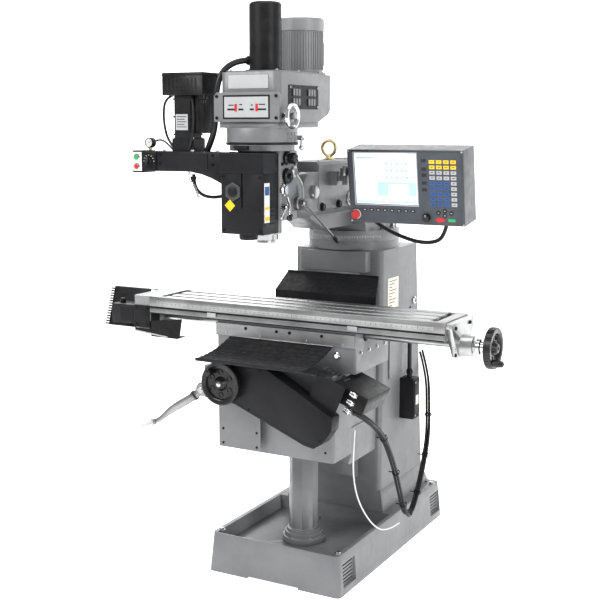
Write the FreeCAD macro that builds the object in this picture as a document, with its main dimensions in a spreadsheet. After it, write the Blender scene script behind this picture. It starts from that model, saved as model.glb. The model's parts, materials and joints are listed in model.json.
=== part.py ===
import FreeCAD, Part
import math
import os
import re
import Sketcher
from FreeCAD import Placement, Rotation, Vector

# Knee-type vertical milling machine with a three-axis control.
# Millimetres. X is the operator's right, Y runs from the operator to the rear, Z is up.
# The origin is the centre of the base's footprint on the floor.

doc = FreeCAD.newDocument("vertical_mill")

# ---------------------------------------------------------------- driving dimensions

DIMENSIONS = [
    # base, column and pedestal
    ("base_width", 572), ("base_depth", 1024), ("base_height", 155), ("base_draft", 4.4),
    ("tray_half_width", 256), ("tray_front", -494), ("tray_rear", 6), ("tray_depth", 60),
    ("foot_gap", 224), ("foot_gap_rise", 8),
    ("anchor_half_x", 225), ("anchor_half_y", 460), ("anchor_radius", 9),
    ("column_half_width", 197), ("column_front", 32.5), ("column_top", 1227),
    ("column_rear_top", 402), ("column_rear_foot", 507), ("column_wall", 26),
    ("way_front", -12), ("way_half_front", 118), ("way_half_back", 98),
    ("way_bottom", 296), ("way_top", 1141), ("way_gap", 0.5),
    ("pedestal_y", -260), ("pedestal_flange", 83), ("pedestal_top", 470), ("pedestal_flats", 53),
    ("screw_radius", 19), ("screw_bore", 24),
    # turret, ram and knuckle
    ("turret_y", 182), ("turret_radius", 188), ("turret_top", 1304),
    ("ram_half_width", 92), ("ram_foot_half", 70), ("ram_neck_half", 52), ("ram_bottom", 1330),
    ("ram_top", 1589), ("ram_front", -310), ("ram_rear", 440), ("ram_slot", 0.5),
    ("nod_y", -355), ("nod_z", 1480), ("ear_radius", 74), ("tongue_half", 45), ("pin_radius", 16),
    ("tilt_face", -455), ("tilt_radius", 96),
    # head
    ("spindle_y", -543), ("head_half_width", 89), ("head_front", -600), ("head_bottom", 1345),
    ("head_top", 1636), ("quill_radius", 43), ("quill_gap", 0.05), ("quill_nose", 1318),
    ("gear_y", -568), ("gear_radius", 126), ("gear_top", 1715), ("gear_bottom", 1655), ("ring_radius", 115),
    ("belt_half_width", 118), ("belt_front", -660), ("belt_top", 1906), ("panel_half", 132),
    ("belt_wall", 8), ("pulley_radius", 54), ("pulley_bottom", 1822), ("pulley_top", 1852),
    ("motor_y", -284), ("motor_radius", 83), ("motor_top", 2112), ("motor_cap", 46),
    ("drawbar_radius", 57), ("drawbar_top", 2149),
    ("cover_front", -709), ("cover_half", 84), ("cover_bottom", 1350), ("cover_top", 1628),
    ("arm_left", -430), ("arm_front", -690), ("arm_rear", -604), ("arm_bottom", 1560), ("arm_top", 1632),
    ("servo_left", -305), ("servo_width", 80), ("servo_side", 68), ("servo_front", -675),
    ("feed_y", -490), ("feed_z", 1448), ("feed_out", 33), ("feed_back", 178), ("feed_drop", 138),
    # knee
    ("knee_half_width", 240), ("knee_front", -475), ("knee_top", 826), ("knee_bottom", 498),
    ("knee_rear", 28), ("knee_wall", 24), ("well_top", 756),
    ("wheel_x", -152), ("wheel_z", 785), ("wheel_radius", 75), ("wheel_y", -640),
    ("belt_plane", -590), ("belt_tilt", 22),
    ("crank_x", -287), ("crank_z", 731), ("crank_y", -535), ("crank_reach", 284),
    # saddle and table
    ("saddle_half", 298), ("saddle_front", -416), ("saddle_rear", -118), ("saddle_top", 985),
    ("strip_bottom", 922), ("strip_top", 972), ("strip_proud", 6),
    ("table_length", 1245), ("table_width", 229), ("table_centre", 28.5), ("table_front", -446),
    ("table_top", 1053), ("table_height", 68), ("slot_width", 16), ("slot_pitch", 63.5),
    ("screw_y", -331), ("screw_z", 958), ("xwheel_x", 782),
    # console
    ("console_x", 442), ("console_width", 443), ("console_height", 268), ("console_depth", 112),
    ("console_front", -320), ("console_z", 1505), ("console_tilt", 9),
    ("arm_pivot_x", 128), ("arm_pivot_y", -213), ("arm_pivot_z", 1526),
]

sheet = doc.addObject("Spreadsheet::Sheet", "Dims")
for row, (alias, number) in enumerate(DIMENSIONS, start=1):
    sheet.set(f"A{row}", alias)
    sheet.set(f"B{row}", str(number))
    sheet.setAlias(f"B{row}", alias)
doc.recompute()
ALIASES = {alias for alias, _ in DIMENSIONS}


def link(text):
    """Turn plain dimension names in an expression into references to the sheet."""
    return re.sub(r"[a-z_]+", lambda word: "Dims." + word[0] if word[0] in ALIASES else word[0], str(text))


def size(text):
    """The present value of an expression, in millimetres or degrees."""
    return float(sheet.evalExpression(link(text)))


def bind(obj, prop, text):
    """Bind a property to an expression over the sheet."""
    obj.setExpression(prop, link(text))


# ---------------------------------------------------------------- primitives

TURNED = {
    "z": Rotation(),
    "x": Rotation(Vector(0, 1, 0), 90),
    "y": Rotation(Vector(1, 0, 0), -90),
    "-y": Rotation(Vector(1, 0, 0), 90),
    "-x": Rotation(Vector(0, 1, 0), -90),
    "-z": Rotation(Vector(1, 0, 0), 180),
}


def place(obj, at, axis="z"):
    """Turn an object's own Z to an axis and bind its position."""
    obj.Placement = Placement(Vector(), TURNED[axis])
    for letter, text in zip("xyz", at):
        bind(obj, f".Placement.Base.{letter}", text)
    return obj


def box(name, low, lengths):
    """A block from its lowest corner and its three lengths."""
    obj = doc.addObject("Part::Box", name)
    for prop, text in zip(("Length", "Width", "Height"), lengths):
        bind(obj, prop, text)
    return place(obj, low)


def rod(name, at, radius, length, axis="z"):
    """A cylinder that starts at a point and runs along an axis."""
    obj = doc.addObject("Part::Cylinder", name)
    bind(obj, "Radius", radius)
    bind(obj, "Height", length)
    return place(obj, at, axis)


def cone(name, at, radius_one, radius_two, length, axis="z"):
    """A cone frustum that starts at a point and runs along an axis."""
    obj = doc.addObject("Part::Cone", name)
    bind(obj, "Radius1", radius_one)
    bind(obj, "Radius2", radius_two)
    bind(obj, "Height", length)
    return place(obj, at, axis)


def ball(name, at, radius):
    """A sphere."""
    obj = doc.addObject("Part::Sphere", name)
    bind(obj, "Radius", radius)
    return place(obj, at)


def ring(name, at, radius, thickness, axis="z"):
    """A torus."""
    obj = doc.addObject("Part::Torus", name)
    bind(obj, "Radius1", radius)
    bind(obj, "Radius2", thickness)
    return place(obj, at, axis)


def fuse(name, *pieces):
    """Join pieces that touch into one solid."""
    obj = doc.addObject("Part::MultiFuse", name)
    obj.Shapes = list(pieces)
    obj.Refine = True
    return obj


def group(name, *pieces):
    """Keep separate solids together in one node."""
    obj = doc.addObject("Part::Compound", name)
    obj.Links = list(pieces)
    return obj


def cut(name, base, *tools):
    """Take tools away from a base."""
    obj = doc.addObject("Part::Cut", name)
    obj.Base = base
    obj.Tool = tools[0] if len(tools) == 1 else fuse(name + "_tools", *tools)
    obj.Refine = True
    return obj


# ---------------------------------------------------------------- sketched bodies

def origin_plane(body, role):
    """One of a body's own origin planes."""
    return next(item for item in body.Origin.OriginFeatures if item.Role == role)


def sketch(body, name, plane, outlines, offset="0"):
    """A sketch of closed outlines: lists of (x, y) expressions, or circles."""
    obj = body.newObject("Sketcher::SketchObject", name)
    obj.AttachmentSupport = [(origin_plane(body, plane), "")]
    obj.MapMode = "FlatFace"
    bind(obj, ".AttachmentOffset.Base.z", offset)
    for outline in outlines:
        if outline[0] == "circle":
            draw_circle(obj, *outline[1:])
        else:
            draw_polygon(obj, outline)
    return obj


def draw_polygon(obj, corners):
    """Lines between corners, each corner held to the sketch's origin."""
    first = obj.GeometryCount
    points = [Vector(size(x), size(y), 0) for x, y in corners]
    count = len(points)
    for index in range(count):
        obj.addGeometry(Part.LineSegment(points[index], points[(index + 1) % count]), False)
    for index in range(count):
        following = first + (index + 1) % count
        obj.addConstraint(Sketcher.Constraint("Coincident", first + index, 2, following, 1))
    for index, (x, y) in enumerate(corners):
        for kind, text, number in (("DistanceX", x, points[index].x), ("DistanceY", y, points[index].y)):
            which = obj.addConstraint(Sketcher.Constraint(kind, -1, 1, first + index, 1, number))
            bind(obj, f"Constraints[{which}]", text)


def draw_circle(obj, x, y, radius):
    """A circle held to the sketch's origin."""
    centre = Vector(size(x), size(y), 0)
    which = obj.addGeometry(Part.Circle(centre, Vector(0, 0, 1), size(radius)), False)
    for kind, text, number in (("DistanceX", x, centre.x), ("DistanceY", y, centre.y)):
        held = obj.addConstraint(Sketcher.Constraint(kind, -1, 1, which, 3, number))
        bind(obj, f"Constraints[{held}]", text)
    held = obj.addConstraint(Sketcher.Constraint("Radius", which, size(radius)))
    bind(obj, f"Constraints[{held}]", radius)


def new_body(name):
    """An empty body."""
    return doc.addObject("PartDesign::Body", name)


def pad(body, name, plane, outlines, length, offset="0", both=False, back=False, taper=None):
    """Add a pad of a sketch to a body."""
    profile = sketch(body, name + "_sketch", plane, outlines, offset)
    obj = body.newObject("PartDesign::Pad", name)
    obj.Profile = profile
    bind(obj, "Length", length)
    obj.Midplane = both
    obj.Reversed = back
    if taper is not None:
        bind(obj, "TaperAngle", taper)
    doc.recompute()
    return obj


def pocket(body, name, plane, outlines, length, offset="0", both=False, back=False):
    """Take a pocket of a sketch out of a body, and make sure that it cut something."""
    before = body.Shape.Volume
    profile = sketch(body, name + "_sketch", plane, outlines, offset)
    obj = body.newObject("PartDesign::Pocket", name)
    obj.Profile = profile
    bind(obj, "Length", length)
    obj.Midplane = both
    obj.Reversed = back
    doc.recompute()
    if body.Shape.Volume >= before - 1:
        raise ValueError(f"pocket {name} cuts nothing")
    return obj


def round_edges(body, name, radius, wanted):
    """Fillet the edges of a body's present shape that a test picks out."""
    tip = body.Tip
    edges = [f"Edge{i}" for i, edge in enumerate(tip.Shape.Edges, start=1) if wanted(edge)]
    obj = body.newObject("PartDesign::Fillet", name)
    obj.Base = (tip, edges)
    bind(obj, "Radius", radius)
    doc.recompute()
    return obj


def is_upright(edge, lean=0.2):
    """Whether an edge runs within a lean of vertical."""
    start = edge.Vertexes[0].Point
    end = edge.Vertexes[-1].Point
    run = end - start
    return run.Length > 1 and abs(run.z) > run.Length * (1 - lean * lean)


def circle(x, y, radius):
    """A circular outline."""
    return ("circle", x, y, radius)


def rectangle(x_low, x_high, y_low, y_high):
    """The four corners of a rectangle."""
    return [(x_low, y_low), (x_high, y_low), (x_high, y_high), (x_low, y_high)]


def polygon_ring(x, y, across, sides, turn=0.0):
    """The corners of a regular polygon of a given distance from centre to flat."""
    reach = f"({across}) / {math.cos(math.pi / sides):.6f}"
    corners = []
    for index in range(sides):
        angle = math.pi * (2 * index + 1) / sides + turn
        corners.append((f"{x} + ({reach}) * {math.cos(angle):.6f}",
                        f"{y} + ({reach}) * {math.sin(angle):.6f}"))
    return corners


# ---------------------------------------------------------------- base, column, pedestal

def make_base():
    body = new_body("base_casting")
    outline = rectangle("-base_width / 2", "base_width / 2", "-base_depth / 2", "base_depth / 2")
    pad(body, "base_block", "XY_Plane", [outline], "base_height", taper="-base_draft")
    round_edges(body, "base_corners", "18", is_upright)
    tray = rectangle("-tray_half_width", "tray_half_width", "tray_front", "tray_rear")
    pocket(body, "base_tray", "XY_Plane", [tray], "tray_depth", offset="base_height")
    hollow = rectangle("-190", "190", "-420", "430")
    pocket(body, "base_hollow", "XY_Plane", [hollow], "base_height - tray_depth - 25", back=True)
    foot = rectangle("-foot_gap / 2", "foot_gap / 2", "0", "foot_gap_rise")
    pocket(body, "base_foot_gap", "XZ_Plane", [foot], "base_depth + 10", both=True)
    holes = [circle(x, y, "anchor_radius") for x in ("-anchor_half_x", "anchor_half_x")
             for y in ("-anchor_half_y", "anchor_half_y")]
    holes.append(circle("0", "pedestal_y", "screw_bore"))
    pocket(body, "base_holes", "XY_Plane", holes, "base_height", offset="base_height")
    vents = [rectangle("-472", "-366", "26", "118"), rectangle("386", "492", "26", "118")]
    pocket(body, "base_vents", "YZ_Plane", vents, "60", offset="252", back=True)
    drain = [circle("-72", "-30", "16")]
    pocket(body, "base_drain", "XY_Plane", drain, "tray_depth + 40", offset="base_height")
    return body


def make_base_grilles():
    grilles = []
    for label, start, width in (("front", -472, 106), ("rear", 386, 106)):
        plate = box(f"grille_plate_{label}", ("266", start, "26"), ("5", width, "92"))
        slots = [box(f"grille_slot_{label}_{n}", ("260", start + 8, 34 + 14 * n), ("20", width - 16, "6"))
                 for n in range(6)]
        grilles.append(cut(f"grille_{label}", plate, *slots))
    return group("base_grilles", *grilles)


def make_column():
    body = new_body("column_casting")
    side = [("column_front", "base_height"), ("column_rear_foot - 8", "base_height"),
            ("column_rear_top", "column_top"), ("column_front", "column_top")]
    pad(body, "column_block", "YZ_Plane", [side], "2 * column_half_width", both=True)
    round_edges(body, "column_edges", "22", is_upright)
    foot = rectangle("-column_half_width - 26", "column_half_width + 26", "column_front - 22",
                     "column_rear_foot - 10")
    pad(body, "column_foot", "XY_Plane", [foot], "80", offset="base_height", taper="-17")
    ways = [("-way_half_back", "column_front + 3"), ("-way_half_front", "way_front"),
            ("way_half_front", "way_front"), ("way_half_back", "column_front + 3")]
    pad(body, "column_ways", "XY_Plane", [ways], "way_top - way_bottom", offset="way_bottom")
    cap = rectangle("-145", "145", "way_front", "column_front + 3")
    pad(body, "column_cap", "XY_Plane", [cap], "column_top - way_top - 6", offset="way_top + 2")
    neck = circle("0", "turret_y", "turret_radius")
    pad(body, "column_neck", "XY_Plane", [neck], "34", offset="column_top")
    inner = rectangle("column_wall - column_half_width", "column_half_width - column_wall",
                      "column_front + 40",
                      "column_rear_top - column_wall")
    pocket(body, "column_hollow", "XY_Plane", [inner], "column_top - base_height - 60",
           offset="base_height", back=True)
    return body


def make_pedestal():
    body = new_body("pedestal")
    floor = "base_height - tray_depth"
    steps = (("pedestal_flange", floor, "24"), ("pedestal_flange - 8", f"{floor} + 24", "18"),
             ("pedestal_flange - 17", f"{floor} + 42", "12"))
    for number, (radius, start, height) in enumerate(steps):
        pad(body, f"pedestal_step_{number}", "XY_Plane", [circle("0", "pedestal_y", radius)], height,
            offset=start)
    shaft = polygon_ring("0", "pedestal_y", "pedestal_flats", 8)
    pad(body, "pedestal_shaft", "XY_Plane", [shaft], f"pedestal_top - ({floor}) - 54",
        offset=f"{floor} + 54")
    bore = [circle("0", "pedestal_y", "screw_bore")]
    pocket(body, "pedestal_bore", "XY_Plane", bore, "pedestal_top", offset="pedestal_top")
    return body


def make_elevating_screw():
    stem = rod("screw_stem", ("0", "pedestal_y", "230"), "screw_radius", "well_top - 230")
    gear = cone("screw_gear", ("0", "pedestal_y", "well_top - 46"), "62", "40", "30")
    return fuse("elevating_screw", stem, gear)


def make_cabinet():
    shell = box("cabinet_shell", ("-column_half_width - 150", "250", "570"), ("150", "230", "430"))
    room = box("cabinet_room", ("-column_half_width - 151", "254", "574"), ("147", "222", "422"))
    tray = cut("cabinet_case", shell, room)
    rail = box("cabinet_rail", ("-column_half_width - 12", "270", "640"), ("8", "190", "35"))
    drive = box("cabinet_drive", ("-column_half_width - 92", "290", "690"), ("88", "150", "200"))
    return fuse("electrical_cabinet", tray, rail, drive)


def make_cabinet_door():
    leaf = box("door_leaf", ("-column_half_width - 158", "251", "571"), ("7.5", "228", "428"))
    knob = rod("door_knob", ("-column_half_width - 158", "272", "785"), "9", "14", "-x")
    return fuse("cabinet_door", leaf, knob)


def make_junction_box():
    case = box("junction_case", ("column_half_width", "226", "500"), ("62", "64", "172"))
    lid = box("junction_lid", ("column_half_width + 62", "232", "508"), ("4", "52", "156"))
    gland = rod("junction_gland", ("column_half_width + 30", "258", "672"), "11", "18")
    return fuse("junction_box", case, lid, gland)


# ---------------------------------------------------------------- turret and ram

def make_turret():
    body = new_body("turret_casting")
    flange = circle("0", "turret_y", "turret_radius")
    pad(body, "turret_flange", "XY_Plane", [flange], "turret_top - column_top - 34.3",
        offset="column_top + 34.3")
    saddle = [("-128", "turret_top - 4"), ("128", "turret_top - 4"), ("112", "ram_bottom + 52"),
              ("-112", "ram_bottom + 52")]
    pad(body, "turret_saddle", "XZ_Plane", [saddle], "300", offset="-turret_y", both=True)
    gap = "ram_slot"
    slot = [(f"-ram_neck_half - {gap}", "ram_bottom + 60"), (f"-ram_foot_half - {gap} - 0.4",
                                                             f"ram_bottom - {gap}"),
            (f"ram_foot_half + {gap} + 0.4", f"ram_bottom - {gap}"), (f"ram_neck_half + {gap}",
                                                                      "ram_bottom + 60")]
    pocket(body, "turret_slot", "XZ_Plane", [slot], "400", offset="-turret_y", both=True)
    return body


def make_turret_bolts():
    pieces = []
    for number, degrees in enumerate((18, 162, 198, 342)):
        x = f"{math.cos(math.radians(degrees)):.5f} * (turret_radius - 26)"
        y = f"turret_y + {math.sin(math.radians(degrees)):.5f} * (turret_radius - 26)"
        washer = rod(f"turret_washer_{number}", (x, y, "turret_top"), "17", "4")
        head = doc.addObject("Part::Prism", f"turret_nut_{number}")
        head.Polygon = 6
        bind(head, "Circumradius", "14")
        bind(head, "Height", "15")
        place(head, (x, y, "turret_top + 4"))
        pieces.append(fuse(f"turret_bolt_{number}", washer, head))
    return group("turret_bolts", *pieces)


def make_ram():
    body = new_body("ram_casting")
    section = [("-ram_foot_half", "ram_bottom"), ("ram_foot_half", "ram_bottom"), ("ram_neck_half",
                                                                                   "ram_bottom + 56"),
               ("ram_half_width", "ram_bottom + 82"), ("ram_half_width", "ram_top - 10"),
               ("ram_half_width - 10", "ram_top"), ("-ram_half_width + 10", "ram_top"),
               ("-ram_half_width", "ram_top - 10"), ("-ram_half_width", "ram_bottom + 82"),
               ("-ram_neck_half", "ram_bottom + 56")]
    pad(body, "ram_bar", "XZ_Plane", [section], "ram_rear - ram_front", offset="-ram_rear")
    nose = [("ram_front - 4", "ram_bottom - 5"), ("ram_front + 110", "ram_bottom - 5"),
            ("ram_front - 4", "ram_bottom + 50")]
    pocket(body, "ram_chin", "YZ_Plane", [nose], "400", both=True)
    ears = circle("nod_y", "nod_z", "ear_radius")
    pad(body, "ram_ears", "YZ_Plane", [ears], "2 * ram_half_width - 8", both=True)
    bridge = rectangle("nod_y", "ram_front + 2", "nod_z - ear_radius", "nod_z + ear_radius")
    pad(body, "ram_bridge", "YZ_Plane", [bridge], "2 * ram_half_width - 8", both=True)
    clear = circle("nod_y", "nod_z", "ear_radius + 5")
    pocket(body, "ram_clevis", "YZ_Plane", [clear], "2 * tongue_half + 1", both=True)
    pin = circle("nod_y", "nod_z", "pin_radius")
    pocket(body, "ram_pin_bore", "YZ_Plane", [pin], "2 * ram_half_width + 10", both=True)
    hollow = rectangle("-40", "40", "ram_bottom + 110", "ram_top - 36")
    pocket(body, "ram_hollow", "XZ_Plane", [hollow], "ram_rear - ram_front - 150", offset="-ram_rear",
           back=True)
    return body


def make_lifting_eye():
    hoop = ring("eye_hoop", ("0", "-52", "ram_top + 46"), "29", "7", "y")
    shank = rod("eye_shank", ("0", "-52", "ram_top"), "19", "6")
    neck = cone("eye_neck", ("0", "-52", "ram_top + 6"), "16", "9", "12")
    return fuse("lifting_eye", hoop, shank, neck)


def make_knuckle():
    body = new_body("knuckle_casting")
    tongue = circle("nod_y", "nod_z", "ear_radius")
    pad(body, "knuckle_tongue", "YZ_Plane", [tongue], "2 * tongue_half - 1", both=True)
    web = rectangle("tilt_face + 22", "nod_y", "nod_z - ear_radius + 6", "nod_z + ear_radius - 6")
    pad(body, "knuckle_web", "YZ_Plane", [web], "2 * tongue_half - 1", both=True)
    disc = circle("0", "nod_z", "tilt_radius")
    pad(body, "knuckle_disc", "XZ_Plane", [disc], "22", offset="-tilt_face - 22")
    pin = circle("nod_y", "nod_z", "pin_radius")
    pocket(body, "knuckle_pin_bore", "YZ_Plane", [pin], "2 * ram_half_width", both=True)
    return body


def make_knuckle_pin():
    """The pin that the head nods on, with a nut at each end."""
    stem = rod("pin_stem", ("-ram_half_width - 4", "nod_y", "nod_z"), "pin_radius - 0.05",
               "2 * ram_half_width + 8", "x")
    left = rod("pin_nut_left", ("-ram_half_width + 3.7", "nod_y", "nod_z"), "24", "16", "-x")
    right = rod("pin_nut_right", ("ram_half_width - 3.7", "nod_y", "nod_z"), "24", "16", "x")
    return fuse("knuckle_pin", stem, left, right)


# ---------------------------------------------------------------- head

def make_head():
    body = new_body("head_casting")
    hull = rectangle("-head_half_width", "head_half_width", "head_front", "tilt_face - 20")
    pad(body, "head_block", "XY_Plane", [hull], "head_top - head_bottom - 46", offset="head_bottom + 46")
    nose = circle("0", "spindle_y", "56")
    pad(body, "head_nose", "XY_Plane", [nose], "50", offset="head_bottom")
    seat = circle("0", "nod_z", "tilt_radius")
    pad(body, "head_seat", "XZ_Plane", [seat], "23", offset="-tilt_face + 0.3")
    round_edges(body, "head_edges", "14", lambda edge: is_upright(edge, 0.05) and edge.Length > 200)
    pad(body, "head_feed_boss", "YZ_Plane", [circle("feed_y", "feed_z", "29")],
        "tilt_radius - head_half_width + 2",
        offset="head_half_width - 2")
    bore = [circle("0", "spindle_y", "quill_radius + quill_gap")]
    pocket(body, "head_bore", "XY_Plane", bore, "head_top - head_bottom + 10", offset="head_top + 5")
    return body


def make_gear_housing():
    body = new_body("gear_housing")
    pad(body, "gear_ring", "XY_Plane", [circle("0", "gear_y", "ring_radius")], "gear_bottom - head_top",
        offset="head_top")
    pad(body, "gear_drum", "XY_Plane", [circle("0", "gear_y", "gear_radius")], "gear_top - gear_bottom",
        offset="gear_bottom")
    room = [circle("0", "gear_y", "gear_radius - 22")]
    pocket(body, "gear_room", "XY_Plane", room, "gear_top - head_top - 14", offset="gear_top")
    bore = [circle("0", "spindle_y", "30")]
    pocket(body, "gear_bore", "XY_Plane", bore, "100", offset="head_top + 50")
    return body


def make_belt_plate():
    """The plate under the belt, with the drum of the back gears below it."""
    body = make_gear_housing()
    floor = rectangle("-belt_half_width", "belt_half_width", "belt_front", "motor_y - 84")
    pad(body, "gear_plate", "XY_Plane", [floor], "20", offset="gear_top")
    pocket(body, "gear_plate_bore", "XY_Plane", [circle("0", "spindle_y", "30")], "30",
           offset="gear_top + 25")
    return body


def make_belt_housing():
    body = new_body("belt_housing")
    floor = "gear_top + 20"
    front = rectangle("-belt_half_width", "belt_half_width", "belt_front", "motor_y")
    pad(body, "belt_block", "XY_Plane", [front], f"belt_top - ({floor})", offset=floor)
    pad(body, "belt_end", "XY_Plane", [circle("0", "motor_y", "belt_half_width - 6")],
        f"belt_top - ({floor})", offset=floor)
    round_edges(body, "belt_corners", "26",
                lambda edge: is_upright(edge) and edge.BoundBox.YMax < size("belt_front") + 5)
    wall = "belt_wall"
    inner = rectangle(f"{wall} - belt_half_width", f"belt_half_width - {wall}", f"belt_front + {wall}",
                      "motor_y - 100")
    pocket(body, "belt_room", "XY_Plane", [inner], f"belt_top - ({floor}) - {wall}", offset=floor, back=True)
    rear = rectangle(f"{wall} - belt_half_width", f"belt_half_width - {wall}", "motor_y - 110", "motor_y")
    rear_height = f"belt_top - pulley_bottom + 8 - {wall}"
    pocket(body, "belt_room_rear", "XY_Plane", [rear], rear_height, offset="pulley_bottom - 8", back=True)
    pocket(body, "belt_room_end", "XY_Plane", [circle("0", "motor_y", f"belt_half_width - 6 - {wall}")],
           rear_height, offset="pulley_bottom - 8", back=True)
    chin = [("motor_y - 83", floor), ("motor_y + 130", "pulley_bottom - 8"), ("motor_y + 130",
                                                                              f"{floor} - 20"),
            ("motor_y - 83", f"{floor} - 20")]
    pocket(body, "belt_chin", "YZ_Plane", [chin], "300", both=True)
    top_holes = [circle("0", "spindle_y", "30"), circle("0", "motor_y", "24")]
    pocket(body, "belt_top_holes", "XY_Plane", top_holes, "30", offset="belt_top + 5")
    return body


def make_spindle_motor():
    shell = rod("motor_shell", ("0", "motor_y", "belt_top"), "motor_radius",
                "motor_top - belt_top - motor_cap")
    cap = rod("motor_cap_ring", ("0", "motor_y", "motor_top - motor_cap"), "motor_radius + 4", "motor_cap")
    bore = rod("motor_bore", ("0", "motor_y", "belt_top - 1"), "24", "16")
    seat = rod("motor_seat", ("0", "motor_y", "belt_top"), "12.05", "70")
    return cut("spindle_motor", fuse("motor_outer", shell, cap), bore, seat)


def make_motor_pulley():
    sheave = rod("motor_sheave", ("0", "motor_y", "pulley_bottom"), "pulley_radius",
                 "pulley_top - pulley_bottom")
    shaft = rod("motor_shaft", ("0", "motor_y", "pulley_top"), "12", "belt_top + 60 - pulley_top")
    return fuse("motor_pulley", sheave, shaft)


def make_spindle_pulley():
    sheave = rod("spindle_sheave", ("0", "spindle_y", "pulley_bottom"), "pulley_radius",
                 "pulley_top - pulley_bottom")
    sleeve = rod("spindle_sleeve", ("0", "spindle_y", "gear_top - 20"), "28", "belt_top + 6 - gear_top + 20")
    bore = rod("sleeve_bore", ("0", "spindle_y", "gear_top - 30"), "18.05", "belt_top + 60 - gear_top")
    return cut("spindle_pulley", fuse("spindle_pulley_outer", sheave, sleeve), bore)


def make_drive_belt():
    """A flat loop round both pulleys, a hair clear of them."""
    body = new_body("drive_belt")
    inner = "pulley_radius + 0.4"
    outer = "pulley_radius + 6.4"
    high = "pulley_top - pulley_bottom - 8"
    low = "pulley_bottom + 4"
    pad(body, "belt_straight", "XY_Plane", [rectangle(f"-({outer})", outer, "spindle_y", "motor_y")], high,
        offset=low)
    for label, centre in (("front", "spindle_y"), ("rear", "motor_y")):
        pad(body, f"belt_turn_{label}", "XY_Plane", [circle("0", centre, outer)], high, offset=low)
    pocket(body, "belt_middle", "XY_Plane", [rectangle(f"-({inner})", inner, "spindle_y", "motor_y")], high,
           offset=f"{low} + {high}")
    for label, centre in (("front", "spindle_y"), ("rear", "motor_y")):
        pocket(body, f"belt_inside_{label}", "XY_Plane", [circle("0", centre, inner)], high,
               offset=f"{low} + {high}")
    return body


def make_drawbar_cover():
    outer = rod("drawbar_outer", ("0", "spindle_y", "belt_top"), "drawbar_radius", "drawbar_top - belt_top")
    inner = rod("drawbar_inner", ("0", "spindle_y", "belt_top - 1"), "drawbar_radius - 6",
                "drawbar_top - belt_top - 8")
    return cut("drawbar_cover", outer, inner)


def make_quill_cover():
    body = new_body("quill_drive_cover")
    outline = rectangle("-cover_half", "cover_half", "cover_front", "head_front - 0.2")
    pad(body, "cover_block", "XY_Plane", [outline], "cover_top - cover_bottom", offset="cover_bottom")
    room = rectangle("-cover_half + 5", "cover_half - 5", "cover_front + 5", "head_front + 2")
    pocket(body, "cover_room", "XY_Plane", [room], "cover_top - cover_bottom - 10",
           offset="cover_bottom + 5", back=True)
    slit = rectangle("-2", "2", "cover_bottom + 90", "cover_top - 60")
    pocket(body, "cover_slit", "XZ_Plane", [slit], "12", offset="-cover_front - 6", both=True)
    return body


def make_drive_arm():
    body = new_body("drive_arm")
    side = [("-cover_half", "arm_top"), ("arm_left", "arm_top"), ("arm_left", "arm_bottom"),
            ("arm_left + 200", "arm_bottom + 1"), ("arm_left + 250", "arm_bottom - 7"),
            ("arm_left + 292", "arm_bottom - 20"), ("-cover_half", "arm_bottom - 44")]
    pad(body, "arm_block", "XZ_Plane", [side], "arm_rear - arm_front", offset="-arm_rear")
    return body


def make_z_servo_motor():
    body = new_body("z_servo_motor")
    front = "servo_front"
    outline = rectangle("servo_left", "servo_left + servo_width", front, f"{front} + servo_side")
    pad(body, "servo_block", "XY_Plane", [outline], "152", offset="arm_top + 45")
    flange = rectangle("servo_left - 6", "servo_left + servo_width + 6", f"{front} - 1",
                       f"{front} + servo_side + 6")
    pad(body, "servo_flange", "XY_Plane", [flange], "45", offset="arm_top")
    round_edges(body, "servo_edges", "7", lambda edge: is_upright(edge, 0.05) and edge.Length > 100)
    return body


def make_servo_housing():
    top = box("housing_top", ("servo_left - 33", "servo_front - 20", "arm_top + 197"), ("173", "110", "79"))
    rear = box("housing_rear", ("servo_left + servo_width + 4", "servo_front + 15", "arm_top + 64"), ("39",
                                                                                                      "70", "134"))
    return fuse("servo_housing", top, rear)


def make_switch_box():
    case = box("switch_case", ("arm_left - 44", "arm_front - 4", "arm_bottom - 6"), ("44", "80", "80"))
    plate = box("switch_plate", ("arm_left", "arm_front - 4", "arm_bottom + 2"), ("60", "4", "68"))
    bores = [rod(f"switch_bore_{n}", ("arm_left - 24", "arm_front - 5", z), "8.2", "16", "y")
             for n, z in enumerate(("arm_bottom + 16", "arm_bottom + 50"))]
    return cut("switch_box", fuse("switch_body", case, plate), *bores)


def make_press_button(name, z):
    stem = rod(name + "_stem", ("arm_left - 24", "arm_front - 4", z), "7.8", "9", "y")
    face = rod(name + "_face", ("arm_left - 24", "arm_front - 11", z), "7.8", "7", "y")
    return fuse(name, stem, face)


def make_mode_switch():
    dial = cone("mode_dial", ("arm_left + 30", "arm_front - 4.3", "arm_bottom + 36"), "15", "12", "8", "-y")
    grip = box("mode_grip", ("arm_left + 26", "arm_front - 22", "arm_bottom + 24"), ("8", "12", "24"))
    return fuse("mode_switch", dial, grip)


def make_pressure_gauge():
    case = rod("gauge_case", ("arm_left - 8", "servo_front + 30", "arm_top + 29"), "19", "24", "y")
    stem = rod("gauge_stem", ("arm_left - 8", "servo_front + 42", "arm_bottom + 74"), "5", "20")
    return fuse("pressure_gauge", case, stem)


def make_speed_handwheel():
    hub = rod("speed_hub", ("belt_half_width + 0.3", "belt_front + 16", "gear_top + 40"), "11", "62", "x")
    disc = cone("speed_disc", ("belt_half_width + 34", "belt_front + 16", "gear_top + 40"), "42", "36",
                "16", "x")
    rim = ring("speed_rim", ("belt_half_width + 40", "belt_front + 16", "gear_top + 40"), "38", "7", "x")
    return fuse("speed_handwheel", hub, disc, rim)


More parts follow.
